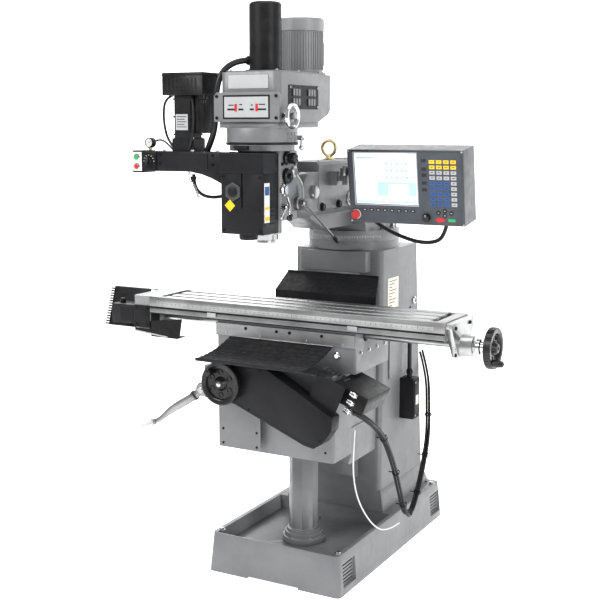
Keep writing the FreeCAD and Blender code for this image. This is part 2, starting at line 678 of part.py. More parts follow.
def make_range_lever():
    hub = rod("range_hub", ("gear_radius - 3", "gear_y + 40", "gear_bottom + 26"), "9", "20", "x")
    arm = rod("range_arm", ("gear_radius + 10", "gear_y + 40", "gear_bottom + 26"), "5", "30", "-z")
    knob = ball("range_knob", ("gear_radius + 10", "gear_y + 40", "gear_bottom - 8"), "9.5")
    return fuse("range_lever", hub, arm, knob)


def make_feed_selector():
    collar = rod("selector_collar", ("head_half_width + 0.3", "head_front + 44", "head_top - 26"), "24",
                 "14", "x")
    grip = rod("selector_grip", ("head_half_width + 14", "head_front + 44", "head_top - 26"), "19", "26",
               "x")
    rim = ring("selector_rim", ("head_half_width + 38", "head_front + 44", "head_top - 26"), "16", "3.5",
               "x")
    return fuse("feed_selector", collar, grip, rim)


def make_feed_handle():
    hub = rod("feed_hub", ("tilt_radius + 0.5", "feed_y", "feed_z"), "27", "22", "x")
    boss = rod("feed_boss", ("tilt_radius + 22", "feed_y", "feed_z"), "13", "16", "x")
    start = Vector(size("tilt_radius + 31"), size("feed_y"), size("feed_z"))
    end = start + Vector(size("feed_out"), size("feed_back"), -size("feed_drop"))
    run = end - start
    stem = doc.addObject("Part::Feature", "feed_stem")
    stem.Shape = Part.makeCylinder(5, run.Length, start, run)
    knob = doc.addObject("Part::Feature", "feed_knob")
    knob.Shape = Part.makeCylinder(9, 34, end - run * (10 / run.Length), run)
    return fuse("quill_feed_handle", hub, boss, stem, knob)


def make_quill():
    body = rod("quill_tube", ("0", "spindle_y", "quill_nose"), "quill_radius", "head_top - 16 - quill_nose")
    bore = rod("quill_bore", ("0", "spindle_y", "quill_nose - 1"), "26.05", "head_top - quill_nose + 20")
    return cut("quill", body, bore)


def make_spindle():
    nose = rod("spindle_nose", ("0", "spindle_y", "quill_nose - 12"), "26", "head_top - 20 - quill_nose")
    shaft = rod("spindle_shaft", ("0", "spindle_y", "head_top - 40"), "18", "belt_top + 90 - head_top + 40")
    collar = rod("spindle_collar", ("0", "spindle_y", "quill_nose - 12"), "34", "11.7")
    socket = rod("spindle_socket", ("0", "spindle_y", "quill_nose - 13"), "12.05", "100")
    return cut("spindle", fuse("spindle_outer", nose, shaft, collar), socket)


# ---------------------------------------------------------------- knee

def make_knee():
    body = new_body("knee_casting")
    plan = [("-knee_half_width", "knee_front"), ("knee_half_width", "knee_front"), ("knee_half_width",
                                                                                    "knee_front + 150"),
            ("knee_half_width - 62", "knee_front + 250"), ("knee_half_width - 62", "knee_rear"),
            ("62 - knee_half_width", "knee_rear"), ("62 - knee_half_width", "knee_front + 250"),
            ("-knee_half_width", "knee_front + 150")]
    pad(body, "knee_block", "XY_Plane", [plan], "knee_top - knee_bottom + 83", offset="knee_bottom - 83")
    under = [("knee_front - 5", "knee_bottom - 90"), ("knee_front - 5", "knee_bottom"),
             ("knee_front + 145", "knee_bottom"), ("knee_front + 262", "knee_bottom - 83"),
             ("knee_front + 262", "knee_bottom - 90")]
    pocket(body, "knee_under", "YZ_Plane", [under], "600", both=True)
    round_edges(body, "knee_edges", "16", lambda edge: is_upright(edge, 0.05)
                and edge.BoundBox.YMax < size("knee_front") + 5)
    bracket = rectangle("-knee_half_width - 60", "-knee_half_width + 5", "crank_y + 32", "crank_y + 100")
    pad(body, "crank_bracket", "XY_Plane", [bracket], "126", offset="crank_z - 40")
    well = rectangle("-150", "150", "knee_front + 35", "-60")
    pocket(body, "knee_well", "XY_Plane", [well], "well_top - knee_bottom + 90", offset="knee_bottom - 90",
           back=True)
    gap = "way_gap"
    slot = [(f"-way_half_back - {gap} - 0.2", "knee_rear + 10"), (f"-way_half_front - {gap} - 0.2",
                                                                  f"way_front - {gap}"),
            (f"way_half_front + {gap} + 0.2", f"way_front - {gap}"), (f"way_half_back + {gap} + 0.2",
                                                                      "knee_rear + 10")]
    pocket(body, "knee_ways", "XY_Plane", [slot], "600", offset="knee_top + 5")
    wheel_bore = [circle("wheel_x", "wheel_z", "12.05")]
    pocket(body, "knee_wheel_bore", "XZ_Plane", wheel_bore, "120", offset="-knee_front - 100", back=True)
    crank_bore = [circle("crank_x", "crank_z", "11.05")]
    pocket(body, "knee_crank_bore", "XZ_Plane", crank_bore, "90", offset="-crank_y - 102", back=True)
    return body


def make_y_belt_cover():
    """The belt guard in front of the knee, held off its face by two spacers."""
    body = new_body("guard_body")
    outline = [(f"wheel_x + {dx}", f"wheel_z + {dz}") for dx, dz in (
        (-85, -20), (-85, 40), (-50, 72), (168, 72), (444, -82), (440, -130), (405, -180), (369, -203),
        (330, -196), (37, -78), (-40, -80))]
    pad(body, "guard_block", "XZ_Plane", [outline], "knee_front - 55 - belt_plane",
        offset="-knee_front + 55")
    bore = [circle("wheel_x", "wheel_z", "30")]
    pocket(body, "guard_bore", "XZ_Plane", bore, "200", offset="-knee_front + 100", both=True)
    left = box("spacer_left", ("wheel_x - 60", "knee_front - 55", "wheel_z - 60"), ("24", "55", "90"))
    right = box("spacer_right", ("wheel_x + 150", "knee_front - 55", "wheel_z - 110"), ("24", "55", "120"))
    return fuse("y_belt_cover", body, left, right)


def make_y_servo_motor():
    """The Y motor, tilted, beside the knee, with its output through the belt guard."""
    motor = doc.addObject("Part::Box", "y_motor_block")
    bind(motor, "Length", "140")
    bind(motor, "Width", "198")
    bind(motor, "Height", "66")
    motor.Placement = Placement(Vector(), Rotation(Vector(0, 1, 0), size("belt_tilt")))
    for letter, text in zip("xyz", ("knee_half_width + 8", "knee_front - 54.5", "wheel_z - 22")):
        bind(motor, f".Placement.Base.{letter}", text)
    foot = box("y_motor_foot", ("knee_half_width", "knee_front + 15", "wheel_z - 58"), ("26", "110", "50"))
    return fuse("y_servo_motor", motor, foot)


def make_y_handwheel():
    """The Y handwheel on its screw."""
    rim = ring("y_wheel_rim", ("wheel_x", "belt_plane - 26", "wheel_z"), "wheel_radius - 9", "9", "y")
    web = rod("y_wheel_web", ("wheel_x", "belt_plane - 32", "wheel_z"), "wheel_radius - 12", "10", "y")
    hub = rod("y_wheel_hub", ("wheel_x", "belt_plane - 42", "wheel_z"), "24", "36", "y")
    shaft = rod("y_wheel_shaft", ("wheel_x", "belt_plane - 20", "wheel_z"), "12",
                "knee_front + 75 - belt_plane", "y")
    knob = rod("y_wheel_knob", ("wheel_x - 36", "belt_plane - 66", "wheel_z + 44"), "10", "44", "y")
    return fuse("y_handwheel", rim, web, hub, shaft, knob)


CRANK_PATH = ((0, 0), (-60, -46), (-160, -112), (-222, -150), (-237, -160))


def make_knee_crank():
    hub = rod("crank_hub", ("crank_x", "crank_y - 14", "crank_z"), "24", "44", "y")
    shaft = rod("crank_shaft", ("crank_x", "crank_y", "crank_z"), "11", "90", "y")
    pieces = []
    for number, (start, end) in enumerate(zip(CRANK_PATH[:-1], CRANK_PATH[1:])):
        low = Vector(size("crank_x") + start[0], size("crank_y") + 2, size("crank_z") + start[1])
        run = Vector(end[0] - start[0], 0, end[1] - start[1])
        arm = doc.addObject("Part::Feature", f"crank_arm_{number}")
        arm.Shape = Part.makeCylinder(9, run.Length, low, run)
        pieces.append(arm)
        pieces.append(ball(f"crank_joint_{number}", (f"crank_x + {end[0]}", "crank_y + 2",
                                                     f"crank_z + {end[1]}"), "9"))
    tip_x, tip_z = CRANK_PATH[-1]
    peg = rod("crank_peg", (f"crank_x + {tip_x}", "crank_y - 104", f"crank_z + {tip_z}"), "6", "108", "y")
    return fuse("knee_crank", hub, shaft, *pieces, peg)


def make_crank_grip():
    tip_x, tip_z = CRANK_PATH[-1]
    at = (f"crank_x + {tip_x}", "crank_y - 108", f"crank_z + {tip_z}")
    shell = rod("grip_shell", at, "13", "96", "y")
    bore = rod("grip_bore", (at[0], "crank_y - 104.3", at[2]), "6.05", "110", "y")
    return cut("crank_grip", shell, bore)


# ---------------------------------------------------------------- saddle and table

def make_saddle():
    body = new_body("saddle_casting")
    plan = rectangle("-saddle_half", "saddle_half", "saddle_front", "saddle_rear")
    pad(body, "saddle_block", "XY_Plane", [plan], "saddle_top - knee_top - 0.5", offset="knee_top + 0.5")
    round_edges(body, "saddle_edges", "10", lambda edge: is_upright(edge, 0.05))
    strip = rectangle("-saddle_half", "saddle_half", "saddle_front - strip_proud", "saddle_front + 12")
    pad(body, "saddle_strip", "XY_Plane", [strip], "strip_top - strip_bottom", offset="strip_bottom")
    hollow = rectangle("-saddle_half + 40", "saddle_half - 40", "saddle_front + 30", "saddle_rear - 30")
    pocket(body, "saddle_hollow", "XY_Plane", [hollow], "70", offset="knee_top", back=True)
    bore = [circle("screw_y", "screw_z", "22")]
    pocket(body, "saddle_bore", "YZ_Plane", bore, "2 * saddle_half + 20", both=True)
    pad(body, "saddle_nut", "YZ_Plane", [circle("screw_y", "screw_z", "24")], "80", both=True)
    pocket(body, "saddle_nut_bore", "YZ_Plane", [circle("screw_y", "screw_z", "12.05")], "100", both=True)
    return body


def make_front_apron():
    """A thin rubber sheet from the saddle's front, drooping to its lip."""
    body = new_body("front_apron")
    front = "saddle_front - strip_proud"
    section = [(front, "strip_bottom + 4"), (f"{front} - 90", "strip_bottom - 3"), (f"{front} - 246",
                                                                                    "strip_bottom - 42"),
               (f"{front} - 248", "strip_bottom - 48"), (f"{front} - 244", "strip_bottom - 48"),
               (f"{front} - 90", "strip_bottom - 7"), (front, "strip_bottom")]
    pad(body, "apron_sheet", "YZ_Plane", [section], "440", offset="-10", both=True)
    return body


def make_table():
    body = new_body("table")
    centre = "table_centre"
    section = [("table_front", "saddle_top + 0.5"), ("table_front + table_width", "saddle_top + 0.5"),
               ("table_front + table_width", "table_top"), ("table_front", "table_top")]
    pad(body, "table_block", "YZ_Plane", [section], "table_length", offset=centre, both=True)
    grooves = [rectangle("table_front - 2", "table_front + 6", "table_top - 46", "table_top - 40"),
               rectangle("table_front + table_width - 6", "table_front + table_width + 2", "table_top - 46",
                         "table_top - 40")]
    pocket(body, "table_grooves", "YZ_Plane", grooves, "table_length + 10", offset=centre, both=True)
    middle = "table_front + table_width / 2"
    slots = []
    for number in (-1, 0, 1):
        at = f"{middle} + {number} * slot_pitch"
        slots.append([(f"{at} - 14", "table_top - 34"), (f"{at} + 14", "table_top - 34"), (f"{at} + 14",
                                                                                           "table_top - 20"),
                      (f"{at} + slot_width / 2", "table_top - 20"), (f"{at} + slot_width / 2",
                                                                     "table_top + 4"),
                      (f"{at} - slot_width / 2", "table_top + 4"), (f"{at} - slot_width / 2",
                                                                    "table_top - 20"),
                      (f"{at} - 14", "table_top - 20")])
    pocket(body, "table_slots", "YZ_Plane", slots, "table_length - 110", offset=centre, both=True)
    drains = [rectangle(f"{centre} + {low}", f"{centre} + {low} + 26", "table_front + 20",
                        "table_front + table_width - 20")
              for low in (-586, 560)]
    pocket(body, "table_drains", "XY_Plane", drains, "14", offset="table_top")
    return body


def make_bracket_right():
    body = new_body("x_bracket_right")
    end = "table_centre + table_length / 2"
    plate = [("table_front + 6", "table_top - 22"), ("screw_y - 40", "screw_z - 40"), ("screw_y + 60",
                                                                                       "screw_z - 40"),
             ("table_front + table_width - 6", "table_top - 40"), ("table_front + table_width - 6",
                                                                   "table_top - 4"),
             ("table_front + 6", "table_top - 4")]
    pad(body, "bracket_plate_right", "YZ_Plane", [plate], "24", offset=end)
    pad(body, "bracket_barrel_right", "YZ_Plane", [circle("screw_y", "screw_z", "39")], "46",
        offset=f"{end} + 24")
    pocket(body, "bracket_bore_right", "YZ_Plane", [circle("screw_y", "screw_z", "12.05")], "100",
           offset=f"{end} + 90")
    return body


def make_bracket_left():
    body = new_body("x_bracket_left")
    end = "table_centre - table_length / 2"
    block = rectangle("table_front + 6", "table_front + table_width - 17", "screw_z - 38", "table_top - 2")
    pad(body, "bracket_block_left", "YZ_Plane", [block], "82", offset=end, back=True)
    round_edges(body, "bracket_edges_left", "9", lambda edge: is_upright(edge, 0.05))
    pocket(body, "bracket_bore_left", "YZ_Plane", [circle("screw_y", "screw_z", "12.05")], "62",
           offset=f"{end} + 5")
    return body


def make_x_servo_motor():
    end = "table_centre - table_length / 2 - 82"
    front = box("x_motor_flange", (f"{end} - 26", "screw_y - 46", "screw_z - 42"), ("26", "92", "84"))
    block = box("x_motor_block", (f"{end} - 166", "screw_y - 40", "screw_z - 38"), ("140", "80", "76"))
    return fuse("x_servo_motor", front, block)


def make_x_guard():
    """The sloping sheet guard over the X motor, held on the end bracket."""
    body = new_body("x_guard")
    sheet_section = [("screw_y + 47", "screw_z - 74"), ("screw_y + 49", "screw_z - 74"),
                     ("table_front + 214", "table_top - 12"), ("table_front + 229", "table_top - 12"),
                     ("table_front + 229", "table_top - 10"), ("table_front + 212", "table_top - 10")]
    left = "table_centre - table_length / 2 - 229"
    pad(body, "guard_sheet", "YZ_Plane", [sheet_section], "190", offset=f"{left} - 13", both=True)
    tab = rectangle("table_front + 212", "table_front + 229", "table_top - 12", "table_top - 10")
    pad(body, "guard_tab", "YZ_Plane", [tab], "149", offset=f"{left} + 80")
    return body


def make_x_handwheel():
    """The X handwheel at the right end, in one piece with the lead screw."""
    screw = rod("x_screw", ("table_centre - table_length / 2 - 50", "screw_y", "screw_z"), "12",
                "xwheel_x + 10 - table_centre + table_length / 2 + 50", "x")
    neck = rod("x_wheel_neck", ("table_centre + table_length / 2 + 70.4", "screw_y", "screw_z"), "21", "40",
               "x")
    dial = rod("x_wheel_dial", ("table_centre + table_length / 2 + 80", "screw_y", "screw_z"), "30", "14",
               "x")
    web = cone("x_wheel_web", ("xwheel_x - 22", "screw_y", "screw_z"), "26", "60", "20", "x")
    rim = ring("x_wheel_rim", ("xwheel_x + 4", "screw_y", "screw_z"), "62", "9", "x")
    hub = rod("x_wheel_hub", ("xwheel_x - 50", "screw_y", "screw_z"), "22", "62", "x")
    knob = rod("x_wheel_knob", ("xwheel_x + 4", "screw_y - 44", "screw_z - 44"), "10", "58", "x")
    return fuse("x_handwheel", screw, neck, dial, web, rim, hub, knob)


def make_way_cover():
    """The rubber cover between the column and the saddle."""
    body = new_body("rear_way_cover")
    section = [("way_front - 3", "way_top - 10"), ("way_front - 3", "way_top - 6"), ("-126", "way_top - 74"),
               ("-127", "saddle_top + 2"), ("-123", "saddle_top + 2"), ("-122", "way_top - 76"),
               ("way_front + 0", "way_top - 11"), ("way_front", "way_top - 10")]
    pad(body, "cover_fold", "YZ_Plane", [section], "414", both=True)
    return body


# ---------------------------------------------------------------- console

def make_console_arm():
    block = box("arm_block", ("ram_half_width", "arm_pivot_y - 24", "arm_pivot_z - 26"), ("36", "48", "52"))
    pillar = rod("arm_pillar", ("arm_pivot_x + 24", "arm_pivot_y", "arm_pivot_z - 24"), "11", "70")
    neck = box("arm_neck", ("arm_pivot_x", "arm_pivot_y - 10", "arm_pivot_z - 10"), ("26", "20", "20"))
    return fuse("console_bracket", block, pillar, neck)


def make_console_bar():
    sleeve = rod("bar_sleeve", ("arm_pivot_x + 24", "arm_pivot_y", "arm_pivot_z + 11"), "19", "30")
    bore = rod("bar_bore", ("arm_pivot_x + 24", "arm_pivot_y", "arm_pivot_z + 10"), "11.05", "40")
    bar = rod("bar_tube", ("arm_pivot_x + 40", "arm_pivot_y", "arm_pivot_z + 26"), "9", "260", "x")
    return cut("console_arm", fuse("bar_outer", sleeve, bar), bore)


def tilted_box(name, lengths, low):
    """A block in the console's own tilted frame, whose origin is the middle of its front face."""
    obj = doc.addObject("Part::Box", name)
    for prop, text in zip(("Length", "Width", "Height"), lengths):
        bind(obj, prop, text)
    tilt = Rotation(Vector(1, 0, 0), size("console_tilt"))
    shift = tilt.multVec(Vector(*(size(text) for text in low)))
    obj.Placement = Placement(Vector(), tilt)
    for letter, text, offset in zip("xyz", ("console_x", "console_front", "console_z"), shift):
        bind(obj, f".Placement.Base.{letter}", f"{text} + {offset:.4f}")
    return obj


def tilted_rod(name, radius, length, low):
    """A cylinder that points out of the console's face."""
    obj = doc.addObject("Part::Cylinder", name)
    bind(obj, "Radius", radius)
    bind(obj, "Height", length)
    tilt = Rotation(Vector(1, 0, 0), size("console_tilt"))
    shift = tilt.multVec(Vector(*(size(text) for text in low)))
    obj.Placement = Placement(Vector(), tilt.multiply(Rotation(Vector(1, 0, 0), 90)))
    for letter, text, offset in zip("xyz", ("console_x", "console_front", "console_z"), shift):
        bind(obj, f".Placement.Base.{letter}", f"{text} + {offset:.4f}")
    return obj


def make_console_housing():
    wide = "console_width"
    tall = "console_height"
    case = tilted_box("console_case", (wide, "console_depth - 12", tall), ("-console_width / 2", "12",
                                                                           "-console_height / 2"))
    face = tilted_box("console_face", (wide, "12.5", tall), ("-console_width / 2", "0",
                                                             "-console_height / 2"))
    window = tilted_box("console_window", ("242", "8", "186"), ("-console_width / 2 + 26", "-1", "-64"))
    stop_bore = tilted_rod("console_stop_bore", "9.3", "46", ("-console_width / 2 + 24", "30",
                                                              "-console_height / 2 + 30"))
    knob_bore = tilted_rod("console_knob_bore", "7.3", "46", ("console_width / 2 - 143", "30",
                                                              "-console_height / 2 + 28"))
    clamp = box("console_clamp", ("console_x - 160", "arm_pivot_y - 16", "arm_pivot_z + 4"), ("110", "40",
                                                                                              "44"))
    seat = rod("console_seat", ("console_x - 280", "arm_pivot_y", "arm_pivot_z + 26"), "9.05", "360", "x")
    return cut("console_housing", fuse("console_outer", case, face, clamp), window, stop_bore, knob_bore,
               seat)


def make_console_screen():
    return tilted_box("console_screen", ("241.4", "6", "185.4"), ("-console_width / 2 + 26.3", "0.7",
                                                                  "-63.7"))


def make_stop_button():
    at = ("-console_width / 2 + 24", "14", "-console_height / 2 + 30")
    stem = tilted_rod("stop_stem", "9", "24", at)
    cap = tilted_rod("stop_cap", "17", "10", (at[0], "-6", at[2]))
    return fuse("console_stop_button", stem, cap)


def make_jog_knob():
    at = ("console_width / 2 - 143", "14", "-console_height / 2 + 28")
    stem = tilted_rod("jog_stem", "7", "18", at)
    cap = tilted_rod("jog_cap", "15", "17", (at[0], "-0.4", at[2]))
    return fuse("jog_knob", stem, cap)


# ---------------------------------------------------------------- cables

def cable(name, points, radius):
    """A round cable swept along a smooth curve through points."""
    curve = Part.BSplineCurve()
    curve.interpolate([Vector(*point) for point in points])
    spine = Part.Wire([curve.toShape()])
    start = curve.value(curve.FirstParameter)
    along = curve.tangent(curve.FirstParameter)[0]
    profile = Part.Wire([Part.Circle(start, along, radius).toShape()])
    obj = doc.addObject("Part::Feature", name)
    obj.Shape = spine.makePipeShell([profile], True, True)
    return obj


def make_knee_cables():
    """The loom from the Y motor, looping down and up behind the column."""
    loom = cable("loom", ((310, -352, 706), (352, -300, 600), (362, -225, 470), (366, -160, 330), (368,
                                                                                                   -110, 210),
                          (370, -60, 196), (366, 20, 250), (330, 160, 290), (285, 300, 330), (262, 390, 480),
                          (238, 452, 640), (190, 480, 740)), 13)
    return loom


def make_console_cable():
    return cable("console_cable", ((570, -236, 1372), (556, -226, 1322), (500, -206, 1298), (410, -180,
                                                                                             1300),
                                   (260, -120, 1340), (150, -60, 1400), (99, -20, 1440)), 8)


# ---------------------------------------------------------------- build and write

PIECES = {
    "base_casting": make_base(),
    "base_grilles": make_base_grilles(),
    "column_casting": make_column(),
    "pedestal": make_pedestal(),
    "elevating_screw": make_elevating_screw(),
    "electrical_cabinet": make_cabinet(),
    "cabinet_door": make_cabinet_door(),
    "junction_box": make_junction_box(),
    "turret_casting": make_turret(),
    "turret_bolts": make_turret_bolts(),
    "ram_casting": make_ram(),
    "lifting_eye": make_lifting_eye(),
    "knuckle_casting": make_knuckle(),
    "knuckle_pin": make_knuckle_pin(),
    "head_casting": make_head(),
    "gear_housing": make_belt_plate(),
    "belt_housing": make_belt_housing(),
    "spindle_motor": make_spindle_motor(),
    "motor_pulley": make_motor_pulley(),
    "spindle_pulley": make_spindle_pulley(),
    "drive_belt": make_drive_belt(),
    "drawbar_cover": make_drawbar_cover(),
    "quill_drive_cover": make_quill_cover(),
    "drive_arm": make_drive_arm(),
    "z_servo_motor": make_z_servo_motor(),
    "servo_housing": make_servo_housing(),
    "switch_box": make_switch_box(),
    "start_button": make_press_button("start_button", "arm_bottom + 50"),
    "stop_button": make_press_button("stop_button", "arm_bottom + 16"),
    "mode_switch": make_mode_switch(),
    "pressure_gauge": make_pressure_gauge(),
    "speed_handwheel": make_speed_handwheel(),
    "range_lever": make_range_lever(),
    "feed_selector": make_feed_selector(),
    "quill_feed_handle": make_feed_handle(),
    "quill": make_quill(),
    "spindle": make_spindle(),
    "knee_casting": make_knee(),
    "y_belt_cover": make_y_belt_cover(),
    "y_servo_motor": make_y_servo_motor(),
    "y_handwheel": make_y_handwheel(),
    "knee_crank": make_knee_crank(),
    "crank_grip": make_crank_grip(),
    "saddle_casting": make_saddle(),
    "front_apron": make_front_apron(),
    "rear_way_cover": make_way_cover(),
    "table": make_table(),
    "x_bracket_right": make_bracket_right(),
    "x_bracket_left": make_bracket_left(),
    "x_servo_motor": make_x_servo_motor(),
    "x_guard": make_x_guard(),
    "x_handwheel": make_x_handwheel(),
    "console_bracket": make_console_arm(),
    "console_arm": make_console_bar(),
    "console_housing": make_console_housing(),
    "console_screen": make_console_screen(),
    "console_stop_button": make_stop_button(),
    "jog_knob": make_jog_knob(),
    "knee_cables": make_knee_cables(),
    "console_cable": make_console_cable(),
}

for node, piece in PIECES.items():
    piece.Label = node
doc.recompute()

faults = [f"{obj.Name}: {obj.State}" for obj in doc.Objects if {"Invalid", "Error"} & set(obj.State)]
faults += [f"{node}: no valid shape" for node, piece in PIECES.items()
           if piece.Shape.isNull() or not piece.Shape.isValid()]
if faults:
    raise RuntimeError("; ".join(faults))

os.makedirs("parts", exist_ok=True)
for node, piece in PIECES.items():
    piece.Shape.exportStep(f"parts/{node}.step")
    solids = piece.Shape.Solids
    print(f"{node}: {len(solids)} solid(s), {piece.Shape.Volume / 1000:.1f} cm3")
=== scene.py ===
"""Looks of a knee-type vertical milling machine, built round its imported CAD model. Metres."""
import json
import math

import bmesh
import bpy
from mathutils import Matrix, Vector

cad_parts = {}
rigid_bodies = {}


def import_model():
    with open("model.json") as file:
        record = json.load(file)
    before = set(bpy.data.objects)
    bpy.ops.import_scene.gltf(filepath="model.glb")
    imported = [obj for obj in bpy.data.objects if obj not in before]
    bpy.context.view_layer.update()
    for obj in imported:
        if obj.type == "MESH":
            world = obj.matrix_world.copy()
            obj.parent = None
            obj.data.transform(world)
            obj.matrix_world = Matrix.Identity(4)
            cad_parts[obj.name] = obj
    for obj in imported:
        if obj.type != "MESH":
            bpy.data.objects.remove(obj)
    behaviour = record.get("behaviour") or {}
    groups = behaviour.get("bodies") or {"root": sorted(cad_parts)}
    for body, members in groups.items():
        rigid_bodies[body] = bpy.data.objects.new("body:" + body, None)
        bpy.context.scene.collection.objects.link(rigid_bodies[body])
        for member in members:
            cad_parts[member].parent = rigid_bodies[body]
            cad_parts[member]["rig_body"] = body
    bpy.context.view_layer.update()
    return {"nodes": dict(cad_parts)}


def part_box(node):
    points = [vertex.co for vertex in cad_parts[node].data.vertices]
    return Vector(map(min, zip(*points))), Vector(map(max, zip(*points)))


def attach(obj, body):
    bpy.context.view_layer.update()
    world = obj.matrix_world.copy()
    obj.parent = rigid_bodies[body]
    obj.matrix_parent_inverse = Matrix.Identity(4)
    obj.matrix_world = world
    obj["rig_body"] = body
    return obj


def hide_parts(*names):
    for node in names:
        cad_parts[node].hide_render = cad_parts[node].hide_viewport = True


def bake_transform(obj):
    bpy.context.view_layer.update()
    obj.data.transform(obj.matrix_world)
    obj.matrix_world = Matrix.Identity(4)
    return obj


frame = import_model()
BODY_OF = {node.name: node["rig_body"] for node in frame["nodes"].values()}
COLLECTION = bpy.context.scene.collection

# ------------------------------------------------------------------ camera


def make_camera():
    data = bpy.data.cameras.new("camera")
    data.lens = 66
    data.sensor_width = 36
    data.shift_y = -0.0217
    camera = bpy.data.objects.new("camera", data)
    camera.location = (1.991, -3.943, 1.730)
    camera.rotation_euler = (math.radians(90 - 8.45), 0, math.radians(28.59))
    COLLECTION.objects.link(camera)
    bpy.context.scene.camera = camera


make_camera()

# ------------------------------------------------------------------ material helpers


class Nodes:
    """A material's node tree, with short ways to add to it."""

    def __init__(self, name):
        self.material = bpy.data.materials.new(name)
        self.material.use_nodes = True
        self.tree = self.material.node_tree
        self.shader = self.tree.nodes["Principled BSDF"]
        self.coords = self.add("ShaderNodeTexCoord").outputs["Object"]

    def add(self, kind, **settings):
        node = self.tree.nodes.new(kind)
        for key, value in settings.items():
            setattr(node, key, value)
        return node

    def link(self, source, target):
        self.tree.links.new(source, target)

    def stretched(self, scale):
        mapping = self.add("ShaderNodeMapping")
        mapping.inputs["Scale"].default_value = scale
        self.link(self.coords, mapping.inputs["Vector"])
        return mapping.outputs["Vector"]

    def noise(self, scale, detail=3.0, roughness=0.5, vector=None):
        node = self.add("ShaderNodeTexNoise")
        node.inputs["Scale"].default_value = scale
        node.inputs["Detail"].default_value = detail
        node.inputs["Roughness"].default_value = roughness
        self.link(vector or self.coords, node.inputs["Vector"])
        return node.outputs["Fac"]

    def ramp(self, source, low, high, low_at=0.0, high_at=1.0):
        node = self.add("ShaderNodeValToRGB")
        for element, at, value in zip(node.color_ramp.elements, (low_at, high_at), (low, high)):
            element.position = at
            element.color = value if len(value) == 4 else (*value, 1)
        self.link(source, node.inputs["Fac"])
        return node.outputs["Color"]

    def grey(self, source, low, high, low_at=0.0, high_at=1.0):
        return self.ramp(source, (low,) * 3, (high,) * 3, low_at, high_at)

    def mix(self, factor, first, second, mode="MIX"):
        node = self.add("ShaderNodeMixRGB", blend_type=mode)
        for socket, value in zip(node.inputs, (factor, first, second)):
            if hasattr(value, "links"):
                self.link(value, socket)
            else:
                socket.default_value = value
        return node.outputs["Color"]

    def bump(self, height, strength, distance):
        node = self.add("ShaderNodeBump")
        node.inputs["Strength"].default_value = strength
        node.inputs["Distance"].default_value = distance
        self.link(height, node.inputs["Height"])
        self.link(node.outputs["Normal"], self.shader.inputs["Normal"])

    def edges(self, radius):
        """1 on worn outer edges, 0 on flats."""
        node = self.add("ShaderNodeBevel")
        node.samples = 4
        node.inputs["Radius"].default_value = radius
        dot = self.add("ShaderNodeVectorMath", operation="DOT_PRODUCT")
        geometry = self.add("ShaderNodeNewGeometry")
        self.link(node.outputs["Normal"], dot.inputs[0])
        self.link(geometry.outputs["Normal"], dot.inputs[1])
        return self.ramp(dot.outputs["Value"], (1, 1, 1), (0, 0, 0), 0.85, 0.97)

    def set(self, **values):
        for key, value in values.items():
            self.shader.inputs[key.replace("_", " ")].default_value = value
        return self.material

    def colour(self, source):
        self.link(source, self.shader.inputs["Base Color"])

    def rough(self, source):
        self.link(source, self.shader.inputs["Roughness"])


def paint(name, light, dark, rough=(0.3, 0.46), cast=0.25, speck=(0.2, 0.19, 0.18), shine=0.45):
    """Machine enamel over a casting: faint blotches, orange peel and dust specks."""
    nodes = Nodes(name)
    blotch = nodes.noise(6, 5, 0.6)
    base = nodes.ramp(blotch, dark, light, 0.3, 0.7)
    dust = nodes.noise(420, 2, 0.6)
    marks = nodes.grey(dust, 0, 0.28, 0.68, 0.8)
    nodes.colour(nodes.mix(marks, base, (*speck, 1)))
    nodes.rough(nodes.grey(nodes.noise(35, 4), *rough, 0.3, 0.75))
    peel = nodes.noise(260, 2, 0.5)
    waves = nodes.noise(28, 4, 0.55)
    nodes.bump(nodes.mix(0.35, waves, peel), cast, 0.0016)
    return nodes.set(Specular_IOR_Level=shine)


def steel(name, tone=0.6, rough=(0.22, 0.4), brush=(3, 260, 260), tint=(1, 1, 1)):
    """Ground or turned steel, with fine lines along one axis and oily patches."""
    nodes = Nodes(name)
    lines = nodes.noise(1, 3, 0.6, nodes.stretched(brush))
    low = tuple(tone * 0.82 * c for c in tint)
    high = tuple(tone * c for c in tint)
    oil = nodes.grey(nodes.noise(9, 4), 0.72, 1, 0.35, 0.6)
    base = nodes.mix(1.0, nodes.ramp(lines, low, high, 0.25, 0.75), oil, "MULTIPLY")
    nodes.colour(base)
    nodes.rough(nodes.grey(lines, *rough, 0.2, 0.8))
    nodes.bump(lines, 0.12, 0.0004)
    return nodes.set(Metallic=1.0)


def moulded(name, colour, rough=0.45, grain=0.25, scale=900, shine=0.3):
    """Moulded plastic or black enamel with a fine grain."""
    nodes = Nodes(name)
    dust = nodes.noise(14, 5, 0.65)
    bright = tuple(min(1, c * 1.25 + 0.008) for c in colour)
    nodes.colour(nodes.ramp(dust, colour, bright, 0.4, 0.75))
    nodes.rough(nodes.grey(nodes.noise(40, 3), rough - 0.06, rough + 0.1, 0.3, 0.7))
    nodes.bump(nodes.noise(scale, 2, 0.5), grain, 0.0005)
    return nodes.set(Specular_IOR_Level=shine)


def rubber(name, colour=(0.006, 0.006, 0.007)):
    """Dull rubber with a dusty bloom."""
    nodes = Nodes(name)
    bloom = nodes.noise(11, 6, 0.7)
    nodes.colour(nodes.ramp(bloom, colour, tuple(c + 0.010 for c in colour), 0.42, 0.75))
    nodes.rough(nodes.grey(nodes.noise(60, 3), 0.5, 0.72, 0.3, 0.7))
    nodes.bump(nodes.noise(700, 2), 0.2, 0.0005)
    return nodes.set(Specular_IOR_Level=0.2)


